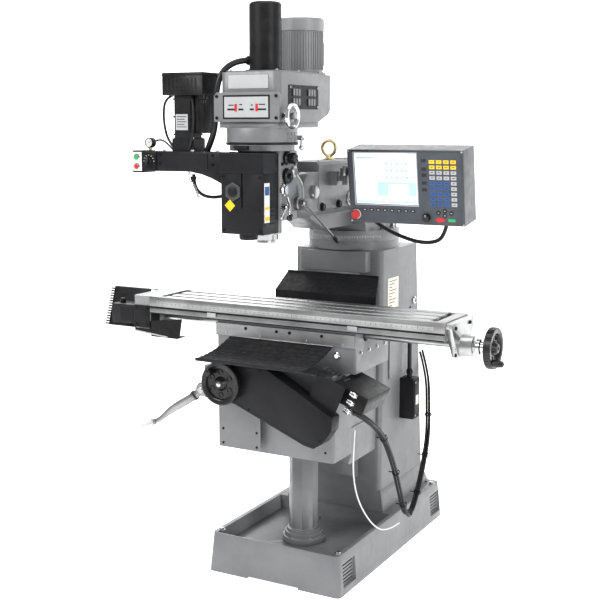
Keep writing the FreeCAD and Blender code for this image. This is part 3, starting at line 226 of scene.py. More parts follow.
def glow(name, low, high, strength):
    """A lit display: soft pale gradient."""
    nodes = Nodes(name)
    shade = nodes.ramp(nodes.noise(3, 2), low, high, 0.35, 0.65)
    nodes.colour(shade)
    nodes.link(shade, nodes.shader.inputs["Emission Color"])
    return nodes.set(Emission_Strength=strength, Roughness=0.16)


MATERIALS = {
    "body": paint("body_grey", (0.150, 0.153, 0.158), (0.112, 0.115, 0.120)),
    "body_light": paint("body_light_grey", (0.235, 0.238, 0.242), (0.185, 0.188, 0.193)),
    "motor": paint("motor_grey", (0.215, 0.218, 0.224), (0.165, 0.168, 0.174), cast=0.12),
    "charcoal": paint("charcoal", (0.0125, 0.0125, 0.0135), (0.0075, 0.0075, 0.0085), rough=(0.36, 0.52),
                      cast=0.3, speck=(0.04, 0.04, 0.04), shine=0.13),
    "slate": paint("slate_grey", (0.050, 0.051, 0.054), (0.036, 0.037, 0.040), shine=0.3),
    "black": moulded("black_enamel", (0.0045, 0.0045, 0.005), 0.36, shine=0.14),
    "gloss_black": moulded("gloss_black", (0.0045, 0.0045, 0.005), 0.24, 0.08),
    "case": paint("case_silver", (0.36, 0.365, 0.37), (0.30, 0.305, 0.31), cast=0.15),
    "console": paint("console_grey", (0.052, 0.056, 0.061), (0.040, 0.044, 0.049), cast=0.15, shine=0.3),
    "fascia": moulded("fascia", (0.040, 0.046, 0.056), 0.45, 0.2),
    "dark_key": moulded("dark_key", (0.010, 0.011, 0.013), 0.4, 0.1),
    "steel": steel("ground_steel", 0.46),
    "steel_x": steel("table_steel", 0.30, (0.28, 0.44), (2, 160, 160)),
    "steel_z": steel("turned_steel", 0.46, (0.18, 0.34), (220, 220, 3)),
    "crank": steel("cast_crank", 0.30, (0.3, 0.46), (40, 40, 40)),
    "dark_steel": steel("dark_steel", 0.22, (0.25, 0.42), (90, 90, 30)),
    "chrome": steel("polished_chrome", 0.66, (0.06, 0.16), (120, 120, 8)),
    "zinc": steel("yellow_zinc", 0.72, (0.25, 0.4), (60, 60, 60), (1.0, 0.82, 0.48)),
    "rubber": rubber("black_rubber"),
    "cable": moulded("cable_jacket", (0.006, 0.006, 0.0065), 0.42, 0.1, shine=0.25),
    "pale_cable": moulded("pale_cable", (0.62, 0.62, 0.60), 0.4, 0.1),
    "hose": moulded("hose_jacket", (0.010, 0.010, 0.011), 0.35, 0.15, shine=0.25),
    "white": moulded("white_plastic", (0.60, 0.60, 0.58), 0.35, 0.1),
    "ivory": moulded("ivory_plate", (0.55, 0.52, 0.44), 0.4, 0.1),
    "red": moulded("red_plastic", (0.42, 0.010, 0.014), 0.3, 0.05),
    "green": moulded("green_plastic", (0.02, 0.28, 0.08), 0.25, 0.05),
    "yellow": moulded("yellow_plastic", (0.70, 0.42, 0.01), 0.35, 0.05),
    "blue": moulded("blue_plastic", (0.012, 0.060, 0.20), 0.35, 0.05),
    "grip": moulded("pale_grip", (0.72, 0.72, 0.70), 0.3, 0.05),
    "display": glow("lit_display", (0.70, 0.86, 0.97), (0.92, 0.96, 0.99), 0.62),
    "display_pale": glow("display_pane", (0.25, 0.50, 0.80), (0.36, 0.60, 0.85), 0.65),
    "display_dark": glow("display_text", (0.25, 0.33, 0.42), (0.30, 0.38, 0.46), 0.5),
}

# ------------------------------------------------------------------ mesh helpers

TURNS = {
    "+z": Matrix.Identity(4),
    "-z": Matrix.Rotation(math.pi, 4, "X"),
    "+x": Matrix.Rotation(math.pi / 2, 4, "Y"),
    "-x": Matrix.Rotation(-math.pi / 2, 4, "Y"),
    "+y": Matrix.Rotation(-math.pi / 2, 4, "X"),
    "-y": Matrix.Rotation(math.pi / 2, 4, "X"),
}


def smooth_by_angle(mesh, degrees=32):
    """Shade smooth, with sharp edges where faces meet at more than an angle."""
    work = bmesh.new()
    work.from_mesh(mesh)
    for face in work.faces:
        face.smooth = True
    for edge in work.edges:
        if len(edge.link_faces) == 2 and edge.calc_face_angle(0) > math.radians(degrees):
            edge.smooth = False
    work.to_mesh(mesh)
    work.free()


def round_edges(obj, width, degrees):
    """Bevel every edge sharper than an angle."""
    modifier = obj.modifiers.new("edge", "BEVEL")
    modifier.width = width
    modifier.segments = 2
    modifier.limit_method = "ANGLE"
    modifier.angle_limit = math.radians(degrees)
    modifier.harden_normals = True


def to_mesh(name, work, material):
    """A mesh made from a bmesh, which is used up."""
    mesh = bpy.data.meshes.new(name)
    work.to_mesh(mesh)
    work.free()
    mesh.materials.append(material)
    return mesh


def show(name, data):
    """A new object in the scene, not yet on a body."""
    made = bpy.data.objects.new(name, data)
    COLLECTION.objects.link(made)
    return made


def from_bmesh(name, work, material, body, bevel=0.0, place=None):
    """A new piece from a bmesh, placed, smoothed and riding on a body."""
    bmesh.ops.recalc_face_normals(work, faces=work.faces[:])
    mesh = to_mesh(name, work, MATERIALS[material])
    if place is not None:
        mesh.transform(place)
    smooth_by_angle(mesh)
    obj = show(name, mesh)
    if bevel:
        round_edges(obj, bevel, 35)
    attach(obj, body)
    return obj


def add_block(work, low, high, place=Matrix.Identity(4)):
    """A box between two corners, in a placement's own space."""
    size = [b - a for a, b in zip(low, high)]
    centre = [(a + b) / 2 for a, b in zip(low, high)]
    matrix = place @ Matrix.Translation(centre) @ Matrix.Diagonal((*size, 1))
    bmesh.ops.create_cube(work, size=1, matrix=matrix)


def add_lathe(work, profile, place=None, steps=40):
    """A turned solid about Z from (radius, height) pairs; one with both ends off the axis is a ring."""
    place = place or Matrix.Identity(4)
    rings = []
    for radius, height in profile:
        if radius < 1e-6:
            rings.append([work.verts.new(place @ Vector((0, 0, height)))])
            continue
        rings.append([work.verts.new(place @ Vector((radius * math.cos(t), radius * math.sin(t), height)))
                      for t in (2 * math.pi * k / steps for k in range(steps))])
    is_ring = profile[0][0] > 0 and profile[-1][0] > 0
    pairs = zip(rings, rings[1:] + rings[:1]) if is_ring else zip(rings[:-1], rings[1:])
    for lower, upper in pairs:
        for k in range(steps):
            quad = [lower[k % len(lower)], lower[(k + 1) % len(lower)],
                    upper[(k + 1) % len(upper)], upper[k % len(upper)]]
            corners = list(dict.fromkeys(quad))
            if len(corners) > 2:
                work.faces.new(corners)


def solid(*profile):
    """A turned profile closed to the axis at both ends."""
    return [(0, profile[0][1]), *profile, (0, profile[-1][1])]


def add_extrusion(work, outline, depth, place=None):
    """An outline in XY, extruded along Z."""
    place = place or Matrix.Identity(4)
    lower = [work.verts.new(place @ Vector((x, y, 0))) for x, y in outline]
    upper = [work.verts.new(place @ Vector((x, y, depth))) for x, y in outline]
    count = len(outline)
    for k in range(count):
        work.faces.new((lower[k], lower[(k + 1) % count], upper[(k + 1) % count], upper[k]))
    work.faces.new(lower)
    work.faces.new(upper)


def at(point, axis="+z", turn=0.0):
    """A placement that stands a local Z along an axis at a point."""
    return Matrix.Translation(point) @ TURNS[axis] @ Matrix.Rotation(turn, 4, "Z")


def blocks(name, boxes, material, body, bevel=0.0, place=None):
    """One piece made of boxes, each given by two corners and perhaps its own placement."""
    work = bmesh.new()
    for box in boxes:
        add_block(work, *box)
    return from_bmesh(name, work, material, body, bevel, place)


def across(x):
    """A placement that stands an outline of (y, z) along X, from x on."""
    return Matrix(((0, 0, 1, x), (1, 0, 0, 0), (0, 1, 0, 0), (0, 0, 0, 1)))


def block(name, low, high, material, body, bevel=0.0015, place=None):
    return blocks(name, [(low, high)], material, body, bevel, place)


def side_box(face, depth, low, high):
    """The corners of a box that stands out along X from a face; low and high are (y, z)."""
    near, far = sorted((face, face + depth))
    return (near, *low), (far, *high)


def spread(count, place):
    """Placements turned evenly about a placement's own Z."""
    return [place @ Matrix.Rotation(2 * math.pi * k / count, 4, "Z") for k in range(count)]


def lathe(name, profile, point, axis, material, body, bevel=0.0, steps=48, place=Matrix.Identity(4)):
    work = bmesh.new()
    add_lathe(work, profile, steps=steps)
    return from_bmesh(name, work, material, body, bevel, place @ at(point, axis))


def plate(name, outline, depth, point, axis, material, body, bevel=0.001, place=Matrix.Identity(4)):
    work = bmesh.new()
    add_extrusion(work, outline, depth)
    return from_bmesh(name, work, material, body, bevel, place @ at(point, axis))


def add_socket_screw(work, place, radius=0.005, height=0.004):
    """A cap screw's head with its hexagon socket."""
    profile = solid((radius, 0), (radius, height * 0.8), (radius * 0.86, height), (radius * 0.52, height),
                    (radius * 0.48, height * 0.35))
    add_lathe(work, profile, place, 18)


def add_hex_screw(work, place, radius=0.008, height=0.006):
    outline = [(radius * math.cos(math.radians(60 * k)), radius * math.sin(math.radians(60 * k)))
               for k in range(6)]
    add_extrusion(work, outline, height, place)
    add_lathe(work, solid((radius * 1.35, -0.0005), (radius * 1.35, 0.0012)), place, 20)


def screws(name, points, axis, body, material="black", radius=0.005, height=0.004, hexed=False, place=None):
    work = bmesh.new()
    for point in points:
        spot = (place or Matrix.Identity(4)) @ at(point, axis)
        (add_hex_screw if hexed else add_socket_screw)(work, spot, radius, height)
    return from_bmesh(name, work, material, body)


def round_curve(name, points, radius, resolution, kind):
    """A round curve through or along some points, and its spline."""
    data = bpy.data.curves.new(name, "CURVE")
    data.dimensions = "3D"
    data.bevel_depth = radius
    data.bevel_resolution = resolution
    spline = data.splines.new(kind)
    spline.points.add(len(points) - 1)
    for target, point in zip(spline.points, points):
        target.co = (*point, 1)
    return data, spline


def tube(name, points, radius, material, body):
    """A smooth round tube along a NURBS line."""
    data, spline = round_curve(name, points, radius, 6, "NURBS")
    data.use_fill_caps = True
    spline.order_u = 3
    spline.use_endpoint_u = True
    spline.resolution_u = 10
    data.materials.append(MATERIALS[material])
    obj = show(name, data)
    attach(obj, body)
    return obj


def curve_path(points, per=14):
    """The points a quadratic NURBS line with end points follows, close together."""
    points = [Vector(p) for p in points]
    middles = [points[0], *((a + b) / 2 for a, b in zip(points[1:-2], points[2:-1])), points[-1]]
    path = []
    for k, (start, end) in enumerate(zip(middles[:-1], middles[1:])):
        bend = points[k + 1]
        for j in range(per):
            t = j / per
            path.append(start * (1 - t) ** 2 + bend * 2 * t * (1 - t) + end * t ** 2)
    path.append(middles[-1])
    return path


def swept(name, path, radius, material, around=14, flat=1.0):
    """A tube mesh that follows a path, round or flattened, of one radius or a list of them."""
    radii = radius if isinstance(radius, list) else [radius] * len(path)
    work = bmesh.new()
    rings = []
    side = Vector((0, 0, 1)) if abs((path[1] - path[0]).normalized().z) < 0.9 else Vector((1, 0, 0))
    for k, point in enumerate(path):
        ahead = (path[min(k + 1, len(path) - 1)] - path[max(k - 1, 0)]).normalized()
        side = (side - ahead * side.dot(ahead)).normalized()
        other = ahead.cross(side)
        rings.append([work.verts.new(point + (side * math.cos(t) + other * math.sin(t) * flat) * radii[k])
                      for t in (2 * math.pi * j / around for j in range(around))])
    for near, far in zip(rings[:-1], rings[1:]):
        for j in range(around):
            work.faces.new((near[j], near[(j + 1) % around], far[(j + 1) % around], far[j]))
    work.faces.new(rings[0])
    work.faces.new(rings[-1])
    bmesh.ops.recalc_face_normals(work, faces=work.faces[:])
    mesh = to_mesh(name, work, MATERIALS[material])
    smooth_by_angle(mesh, 50)
    return show(name, mesh)


def carry(node, material, bevel):
    """Show a CAD node itself, with rounded edges and a material."""
    obj = frame["nodes"][node]
    obj.data.materials.clear()
    obj.data.materials.append(MATERIALS[material])
    for polygon in obj.data.polygons:
        polygon.use_smooth = True
    weld = obj.modifiers.new("weld", "WELD")
    weld.merge_threshold = 0.00002
    round_edges(obj, bevel, 30)


def hand_wheel(name, rim, tube_radius, point, axis, body, hub):
    """A moulded handwheel: a deep ribbed rim, a closed web with round dimples, and a hub."""
    work = bmesh.new()
    outer = rim + tube_radius
    deep = tube_radius * 1.35
    profile = solid((rim - tube_radius, -0.004), (rim - tube_radius * 0.8, -deep), (outer - 0.002, -deep),
                    (outer, 0.002 - deep), (outer, deep - 0.002), (outer - 0.002, deep),
                    (rim - tube_radius * 0.5, deep), (rim - tube_radius, deep - 0.003),
                    (rim - tube_radius * 1.3, 0.003), (hub * 1.2, 0.003), (hub, 0.010), (hub * 0.7, 0.019),
                    (hub * 0.3, 0.020), (hub * 0.28, 0.014))
    add_lathe(work, profile, steps=72)
    for place in spread(36, Matrix.Identity(4)):
        add_block(work, (outer - 0.001, -0.0016, 0.003 - deep), (outer + 0.0008, 0.0016, deep - 0.003),
                  place)
    middle = (rim - tube_radius * 1.3 + hub * 1.2) / 2
    dimple = (rim - tube_radius * 1.3 - hub * 1.2) * 0.36
    dimples = 6
    for k in range(dimples):
        t = 2 * math.pi * (k + 0.5) / dimples
        place = Matrix.Translation((middle * math.cos(t), middle * math.sin(t), 0))
        ring = [(dimple, 0.002), (dimple, 0.0052), (dimple * 0.8, 0.0058), (dimple * 0.74, 0.0034),
                (dimple * 0.74, 0.002)]
        add_lathe(work, ring, place, 24)
    return from_bmesh(name, work, "gloss_black", body, 0.0, at(point, axis))


# ------------------------------------------------------------------ measures read from the frame

BASE_LOW, BASE_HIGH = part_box("base_casting")
COLUMN_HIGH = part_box("column_casting")[1]
BELT_LOW, BELT_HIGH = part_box("belt_housing")
COVER_LOW, COVER_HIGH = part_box("quill_drive_cover")
ARM_LOW, ARM_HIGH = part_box("drive_arm")
SERVO_LOW, SERVO_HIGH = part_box("z_servo_motor")
HOUSING_LOW, HOUSING_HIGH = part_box("servo_housing")
HEAD_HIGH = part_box("head_casting")[1]
GEAR_LOW, GEAR_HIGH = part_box("gear_housing")
MOTOR_LOW, MOTOR_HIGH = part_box("spindle_motor")
DRAWBAR_LOW, DRAWBAR_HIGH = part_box("drawbar_cover")
RAM_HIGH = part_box("ram_casting")[1]
TABLE_LOW, TABLE_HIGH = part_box("table")
SADDLE_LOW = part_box("saddle_casting")[0]
KNEE_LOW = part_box("knee_casting")[0]
GUARD_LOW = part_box("y_belt_cover")[0]
XWHEEL_LOW, XWHEEL_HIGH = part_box("x_handwheel")
QUILL_LOW, QUILL_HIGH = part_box("quill")
JUNCTION_LOW, JUNCTION_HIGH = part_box("junction_box")
SPINDLE_Y = (QUILL_LOW.y + QUILL_HIGH.y) / 2
MOTOR_Y = (MOTOR_LOW.y + MOTOR_HIGH.y) / 2
SCREW_Y = (XWHEEL_LOW.y + XWHEEL_HIGH.y) / 2
SCREW_Z = (XWHEEL_LOW.z + XWHEEL_HIGH.z) / 2
ARM_TOP = 1.634
Y_WHEEL_X, Y_WHEEL_Z = -0.152, 0.785
CRANK_HUB = (-0.287, 0.731)
CRANK_TIP = (-0.524, 0.571)
SIDES = (("right", 1, "+x"), ("left", -1, "-x"))

# ------------------------------------------------------------------ carried castings

for node, material, bevel in (
        ("base_casting", "body", 0.004), ("column_casting", "body", 0.004), ("pedestal", "body", 0.0025),
        ("base_grilles", "body", 0.0008), ("electrical_cabinet", "body_light", 0.002),
        ("cabinet_door", "body_light", 0.002), ("junction_box", "charcoal", 0.002),
        ("turret_casting", "body", 0.004), ("ram_casting", "body", 0.005),
        ("knuckle_casting", "body", 0.003), ("knuckle_pin", "steel", 0.002),
        ("turret_bolts", "steel_z", 0.0012), ("lifting_eye", "zinc", 0.001),
        ("elevating_screw", "steel_z", 0.001), ("head_casting", "body", 0.004),
        ("gear_housing", "body", 0.003), ("belt_housing", "body", 0.005),
        ("motor_pulley", "steel_z", 0.001), ("spindle_pulley", "steel_z", 0.001),
        ("drive_belt", "rubber", 0.001), ("quill_drive_cover", "charcoal", 0.003),
        ("drive_arm", "charcoal", 0.004), ("servo_housing", "black", 0.003),
        ("switch_box", "charcoal", 0.002), ("start_button", "green", 0.001),
        ("stop_button", "red", 0.001), ("mode_switch", "gloss_black", 0.0012),
        ("range_lever", "chrome", 0.001), ("quill", "steel_z", 0.001), ("spindle", "steel_z", 0.001),
        ("knee_casting", "body", 0.004), ("y_belt_cover", "charcoal", 0.006),
        ("y_servo_motor", "black", 0.004), ("knee_crank", "chrome", 0.0012),
        ("saddle_casting", "body", 0.003), ("table", "steel_x", 0.001),
        ("x_bracket_right", "steel", 0.003), ("x_bracket_left", "body_light", 0.012),
        ("x_servo_motor", "black", 0.003), ("x_guard", "black", 0.0006),
        ("console_bracket", "body", 0.003), ("console_arm", "steel", 0.001),
        ("console_housing", "console", 0.008)):
    carry(node, material, bevel)

# ------------------------------------------------------------------ base, pedestal and column


def make_base_details():
    body = BODY_OF["base_casting"]
    rail = 0.030
    work = bmesh.new()
    for x in (BASE_LOW.x + rail, BASE_HIGH.x - rail):
        for y in (BASE_LOW.y + 0.05, BASE_HIGH.y - 0.06):
            add_hex_screw(work, at((x, y, BASE_HIGH.z - 0.0005)), 0.011, 0.008)
    from_bmesh("anchor_nuts", work, "steel", body, 0.0008)
    drain_x, drain_y, drain_radius = -0.072, -0.030, 0.017
    bars = []
    for k in range(-3, 4):
        half = math.sqrt(1 - (k / 3.6) ** 2) * drain_radius
        y = drain_y + 0.005 * k
        bars.append(((drain_x - half, y - 0.0012, 0.096), (drain_x + half, y + 0.0012, 0.0985)))
    blocks("tray_strainer", bars, "steel", body, 0.0003)
    floor = BASE_HIGH.z - 0.060
    lathe("tray_drain_ring", [(0.016, 0), (0.024, 0), (0.024, 0.003), (0.017, 0.003), (0.016, 0.001)],
          (drain_x, drain_y, floor), "+z", "steel", body)
    pedestal_y, circle = -0.260, 0.070
    turns = [math.radians(60 * k + 20) for k in range(6)]
    points = [(circle * math.cos(t), pedestal_y + circle * math.sin(t), floor + 0.024) for t in turns]
    screws("pedestal_bolts", points, "+z", body, "steel", 0.0075, 0.007, hexed=True)


def make_column_details():
    body = BODY_OF["column_casting"]
    side = COLUMN_HIGH.x - 0.026
    block("maker_plate", (side, 0.092, 0.983), (side + 0.0012, 0.197, 1.109), "ivory", body, 0.0004)
    rows = [(1.094 - 0.0125 * k, 0.177 - 0.022 * (k % 3)) for k in range(9)]
    rules = [((side + 0.0012, 0.102, z), (side + 0.0015, end, z + 0.003)) for z, end in rows]
    blocks("maker_plate_rules", rules, "charcoal", body)
    block("side_door", (side, 0.105, 0.690), (side + 0.006, 0.330, 0.930), "body", body, 0.002)
    corners = [(side + 0.006, y, z) for y in (0.118, 0.317) for z in (0.703, 0.917)]
    screws("side_door_screws", corners, "+x", body, "steel", 0.005, 0.003)
    rear = COLUMN_HIGH.y
    block("rear_door", (-0.120, rear - 0.118, 0.760), (0.120, rear - 0.100, 1.060), "body", body, 0.003)
    louvres = [((-0.085, rear - 0.101, 0.800 + 0.027 * k), (0.085, rear - 0.096, 0.810 + 0.027 * k))
               for k in range(8)]
    blocks("rear_louvres", louvres, "body", body, 0.002)
    lathe("oil_sight", solid((0.016, 0), (0.016, 0.005), (0.012, 0.009), (0.009, 0.009), (0.009, 0.004)),
          (side, 0.365, 0.985), "+x", "chrome", body)


def make_junction_details():
    body = BODY_OF["junction_box"]
    face = JUNCTION_HIGH.x
    corners = [(face, y, z) for y in (JUNCTION_LOW.y + 0.012, JUNCTION_HIGH.y - 0.012)
               for z in (0.515, 0.657)]
    screws("junction_screws", corners, "+x", body, "steel", 0.004, 0.0025)
    block("junction_label", (face, 0.244, 0.560), (face + 0.001, 0.272, 0.600), "ivory", body, 0.0003)
    tube("junction_conduit",
         [(0.227, 0.258, 0.690), (0.226, 0.259, 0.76), (0.222, 0.268, 0.86), (0.208, 0.300, 0.93),
          (0.190, 0.330, 0.96)], 0.009, "cable", body)
    lathe("junction_gland_nut",
          [(0.009, 0), (0.015, 0), (0.015, 0.012), (0.012, 0.016), (0.0095, 0.022), (0.009, 0.022)],
          (0.227, 0.258, 0.6895), "+z", "black", body, 0.0005, 6)


def make_cabinet_details():
    body = BODY_OF["cabinet_door"]
    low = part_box("cabinet_door")[0]
    louvres = [((low.x + 0.010, 0.30, z), (low.x + 0.0135, 0.43, z + 0.007))
               for z in (0.62 + 0.016 * k for k in range(7))]
    blocks("cabinet_louvres", louvres, "body_light", body, 0.0012)
    lathe("cabinet_isolator", solid((0.024, 0), (0.024, 0.004), (0.018, 0.007), (0.018, 0.010)),
          (low.x + 0.0138, 0.365, 0.90), "-x", "red", body, 0.0006)


make_base_details()
make_column_details()
make_junction_details()
make_cabinet_details()

# ------------------------------------------------------------------ ram, turret and knuckle


def make_ram_details():
    body = "ram"
    side = RAM_HIGH.x
    dial_y, dial_z = -0.048, 1.441
    lathe("ram_dial", solid((0.031, 0), (0.031, 0.004), (0.029, 0.006), (0.020, 0.006), (0.018, 0.011)),
          (side, dial_y, dial_z), "+x", "steel", body, 0.0005)
    places = spread(24, at((side + 0.006, dial_y, dial_z), "+x"))
    marks = [((0.0225, -0.0004, 0), (0.0275, 0.0004, 0.0004), place) for place in places]
    blocks("ram_dial_marks", marks, "black", body)
    screws("ram_lock_bolts", [(side, -0.286, 1.421), (side, -0.150, 1.425), (side, 0.200, 1.460)], "+x",
           body, "black", 0.013, 0.012, hexed=True)
    screws("ram_cover_screws", [(x, y, RAM_HIGH.z) for x in (-0.07, 0.07) for y in (-0.27, 0.06, 0.40)],
           "+z", body, "steel", 0.006, 0.005)
    block("ram_top_plate", (-0.058, 0.02, RAM_HIGH.z), (0.058, 0.36, RAM_HIGH.z + 0.004), "body", body,
          0.002)
    lathe("eye_washer", [(0.0185, 0), (0.026, 0), (0.026, 0.003), (0.0195, 0.004)], (0, -0.052, RAM_HIGH.z),
          "+z", "zinc", body)
    block("ram_end_plate", (-0.062, RAM_HIGH.y, 1.435), (0.062, RAM_HIGH.y + 0.004, 1.570), "body_light",
          body, 0.0015)
    screws("ram_end_screws", [(x, RAM_HIGH.y + 0.004, z) for x in (-0.05, 0.05) for z in (1.447, 1.558)],
           "+y", body, "steel", 0.004, 0.003)


def make_turret_details():
    body = "turret"
    marks = []
    for k in range(61):
        place = at((0, 0.182, 1.2735), turn=math.radians(2 * k - 150)) @ TURNS["+x"]
        marks.append(((-0.011, -0.0005, 0.1881), (0.001 if k % 5 == 0 else -0.004, 0.0005, 0.1885), place))
    blocks("turret_scale", marks, "ivory", body)
    for side in (-1, 1):
        points = [(side * 0.125, y, 1.345) for y in (0.08, 0.18, 0.28)]
        screws(f"gib_screws_{'left' if side < 0 else 'right'}", points, "+x" if side > 0 else "-x", body,
               "steel", 0.008, 0.010, hexed=True)


def make_knuckle_details():
    body = "knuckle"
    lathe("tilt_ring", [(0.084, 0), (0.0965, 0), (0.0965, 0.006), (0.084, 0.006)], (0, -0.4405, 1.480), "+y",
          "steel", body)
    points = []
    for k in range(4):
        turn = math.radians(45 + 90 * k)
        points.append((0.078 * math.cos(turn), -0.4335, 1.480 + 0.078 * math.sin(turn)))
    screws("tilt_bolts", points, "+y", body, "steel", 0.009, 0.010, hexed=True)


make_ram_details()
make_turret_details()
make_knuckle_details()

# ------------------------------------------------------------------ head


def make_belt_housing_details():
    body = "head"
    front = BELT_LOW.y
    half = 0.132
    low, high = BELT_LOW.z, BELT_LOW.z + 0.102
    outline = [(-half, 0.004), (-half + 0.004, 0), (half - 0.004, 0), (half, 0.004),
               (half, high - low - 0.012), (half - 0.012, high - low), (-half + 0.012, high - low),
               (-half, high - low - 0.012)]
    plate("speed_panel", outline, 0.016, (0, front, low), "-y", "body", body, 0.002)
    front -= 0.016
    corners = [(x, front, z) for x in (-half + 0.013, half - 0.013) for z in (low + 0.014, high - 0.014)]
    screws("speed_panel_screws", corners, "-y", body, "black", 0.0055, 0.004)
    # A thin black rim round the speed plate: painted shade standing for the recess the plate sits in.
    block("speed_plate_painted_shade_rim", (-0.094, front - 0.0008, low + 0.010), (0.094, front, high - 0.010), "black", body,
          0.0004)
    block("speed_plate", (-0.088, front - 0.0016, low + 0.016), (0.088, front, high - 0.016), "case", body,
          0.0006)
    deep, shallow = front - 0.0020, front - 0.0014
    rules = []
    for k, (x, half_width) in enumerate(((-0.060, 0.015), (-0.020, 0.010), (0.024, 0.008), (0.064, 0.017))):
        z, inner = low + 0.056 + 0.002 * (k % 2), half_width - 0.004
        rules.append(((x - half_width, deep, low + 0.040), (x + half_width, shallow, low + 0.046)))
        rules.append(((x - inner, deep, z), (x + inner, shallow, z + 0.0035)))
    blocks("speed_plate_rules", rules, "black", body)
    windows = [((x, deep, low + 0.036), (x + 0.010, shallow, low + 0.062)) for x in (-0.046, 0.038)]
    blocks("speed_plate_windows", windows, "red", body)
    block("blank_badge", (-0.080, BELT_LOW.y - 0.003, high + 0.012), (0.080, BELT_LOW.y, high + 0.058),
          "case", body, 0.001)
    top = BELT_HIGH.z
    outline = [(-0.104, -0.640), (0.104, -0.640), (0.104, -0.290), (0.070, -0.215), (-0.070, -0.215),
               (-0.104, -0.290)]
    plate("belt_lid", outline, 0.006, (0, 0, top - 0.0005), "+z", "body", body, 0.003)
    points = [(x, y, top + 0.0055) for x in (-0.092, 0.092) for y in (-0.625, -0.470, -0.310)]
    screws("belt_lid_screws", points, "+z", body, "steel", 0.005, 0.004)
    for label, sign, axis in SIDES:
        face = sign * BELT_HIGH.x
        plate_box = side_box(face, sign * 0.003, (-0.590, 1.780), (-0.372, 1.863))
        blocks(f"vent_plate_{label}", [plate_box], "charcoal", body, 0.0012)
        face += sign * 0.003
        hoods = [side_box(face, sign * 0.005, (y + 0.019 * k, z), (y + 0.019 * k + 0.013, z + 0.024))
                 for y in (-0.566, -0.454) for z in (1.793, 1.826) for k in range(3)]
        blocks(f"vent_hoods_{label}", hoods, "body", body, 0.0022)
        corners = [(face, y, z) for y in (-0.582, -0.380) for z in (1.788, 1.855)]
        screws(f"vent_screws_{label}", corners, axis, body, "steel", 0.0045, 0.003)


def make_motor_details():
    body = "head"
    radius = (MOTOR_HIGH.x - MOTOR_LOW.x) / 2 - 0.004
    base, top = MOTOR_LOW.z, MOTOR_HIGH.z
    tall = top - base
    profile = solid((radius + 0.010, 0), (radius + 0.010, 0.010), (radius - 0.001, 0.013),
                    (radius - 0.001, tall - 0.048), (radius + 0.004, tall - 0.046),
                    (radius + 0.004, tall - 0.006), (radius, tall))
    motor = lathe("motor_shell", profile, (0, MOTOR_Y, base), "+z", "motor", body, steps=96)
    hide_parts("spindle_motor")
    fins = [((radius - 0.003, -0.0013, base + 0.020), (radius + 0.0022, 0.0013, top - 0.049), place)
            for place in spread(54, at((0, MOTOR_Y, 0)))]
    blocks("motor_fins", fins, "motor", body, 0.0005)
    # Charcoal slots on the motor's top: painted shade standing for the dark vent openings.
    vents = [((0.022, -0.004, 0), (0.048, 0.004, 0.0060), place)
             for place in spread(12, at((0, MOTOR_Y, top - 0.0055)))]
    blocks("motor_vent_painted_shade", vents, "charcoal", body, 0.001)
    block("motor_terminal_box", (-0.045, MOTOR_Y + radius - 0.012, base + 0.040),
          (0.045, MOTOR_Y + radius + 0.026, base + 0.125), "motor", body, 0.004)


def make_drawbar_details():
    radius = (DRAWBAR_HIGH.x - DRAWBAR_LOW.x) / 2
    tall = DRAWBAR_HIGH.z - DRAWBAR_LOW.z
    profile = solid((radius, 0), (radius, tall - 0.008), (radius - 0.006, tall - 0.001),
                    (radius - 0.012, tall), (0.014, tall), (0.012, tall - 0.006))
    cover = lathe("drawbar_shell", profile, (0, SPINDLE_Y, DRAWBAR_LOW.z), "+z", "black", "head", steps=72)
    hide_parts("drawbar_cover")
    outer = radius + 0.014
    ring = [(radius, 0), (outer, 0), (outer, 0.005), (radius + 0.002, 0.008), (radius, 0.008)]
    lathe("drawbar_flange", ring, (0, SPINDLE_Y, DRAWBAR_LOW.z + 0.005), "+z", "black", "head")


def make_gear_details():
    body = "head"
    middle = (GEAR_LOW.x + GEAR_HIGH.x) / 2
    centre_y = GEAR_LOW.y + 0.126
    drum = 0.1265
    turns = [math.radians(degrees) for degrees in (-150, -30, 30, 150)]
    points = [(middle + drum * math.cos(t), centre_y + drum * math.sin(t), GEAR_HIGH.z - 0.021)
              for t in turns]
    screws("gear_drum_plugs", points, "+z", body, "black", 0.005, 0.003)
    hoods = []
    for z in (1.668, 1.688):
        for degrees in (-12, -3, 6):
            place = at((middle, centre_y, 0), turn=math.radians(degrees))
            hoods.append(((0.124, -0.007, z), (0.1285, 0.007, z + 0.012), place))
    blocks("gear_drum_hoods", hoods, "body", body, 0.002)
    lathe("gear_drum_band", [(0.1262, 0), (0.1285, 0.002), (0.1285, 0.007), (0.1262, 0.009)],
          (middle, centre_y, 1.657), "+z", "charcoal", body)
    block("interlock_box", (-0.040, -0.694, 1.6405), (0.014, -0.650, 1.6545), "black", body, 0.002)


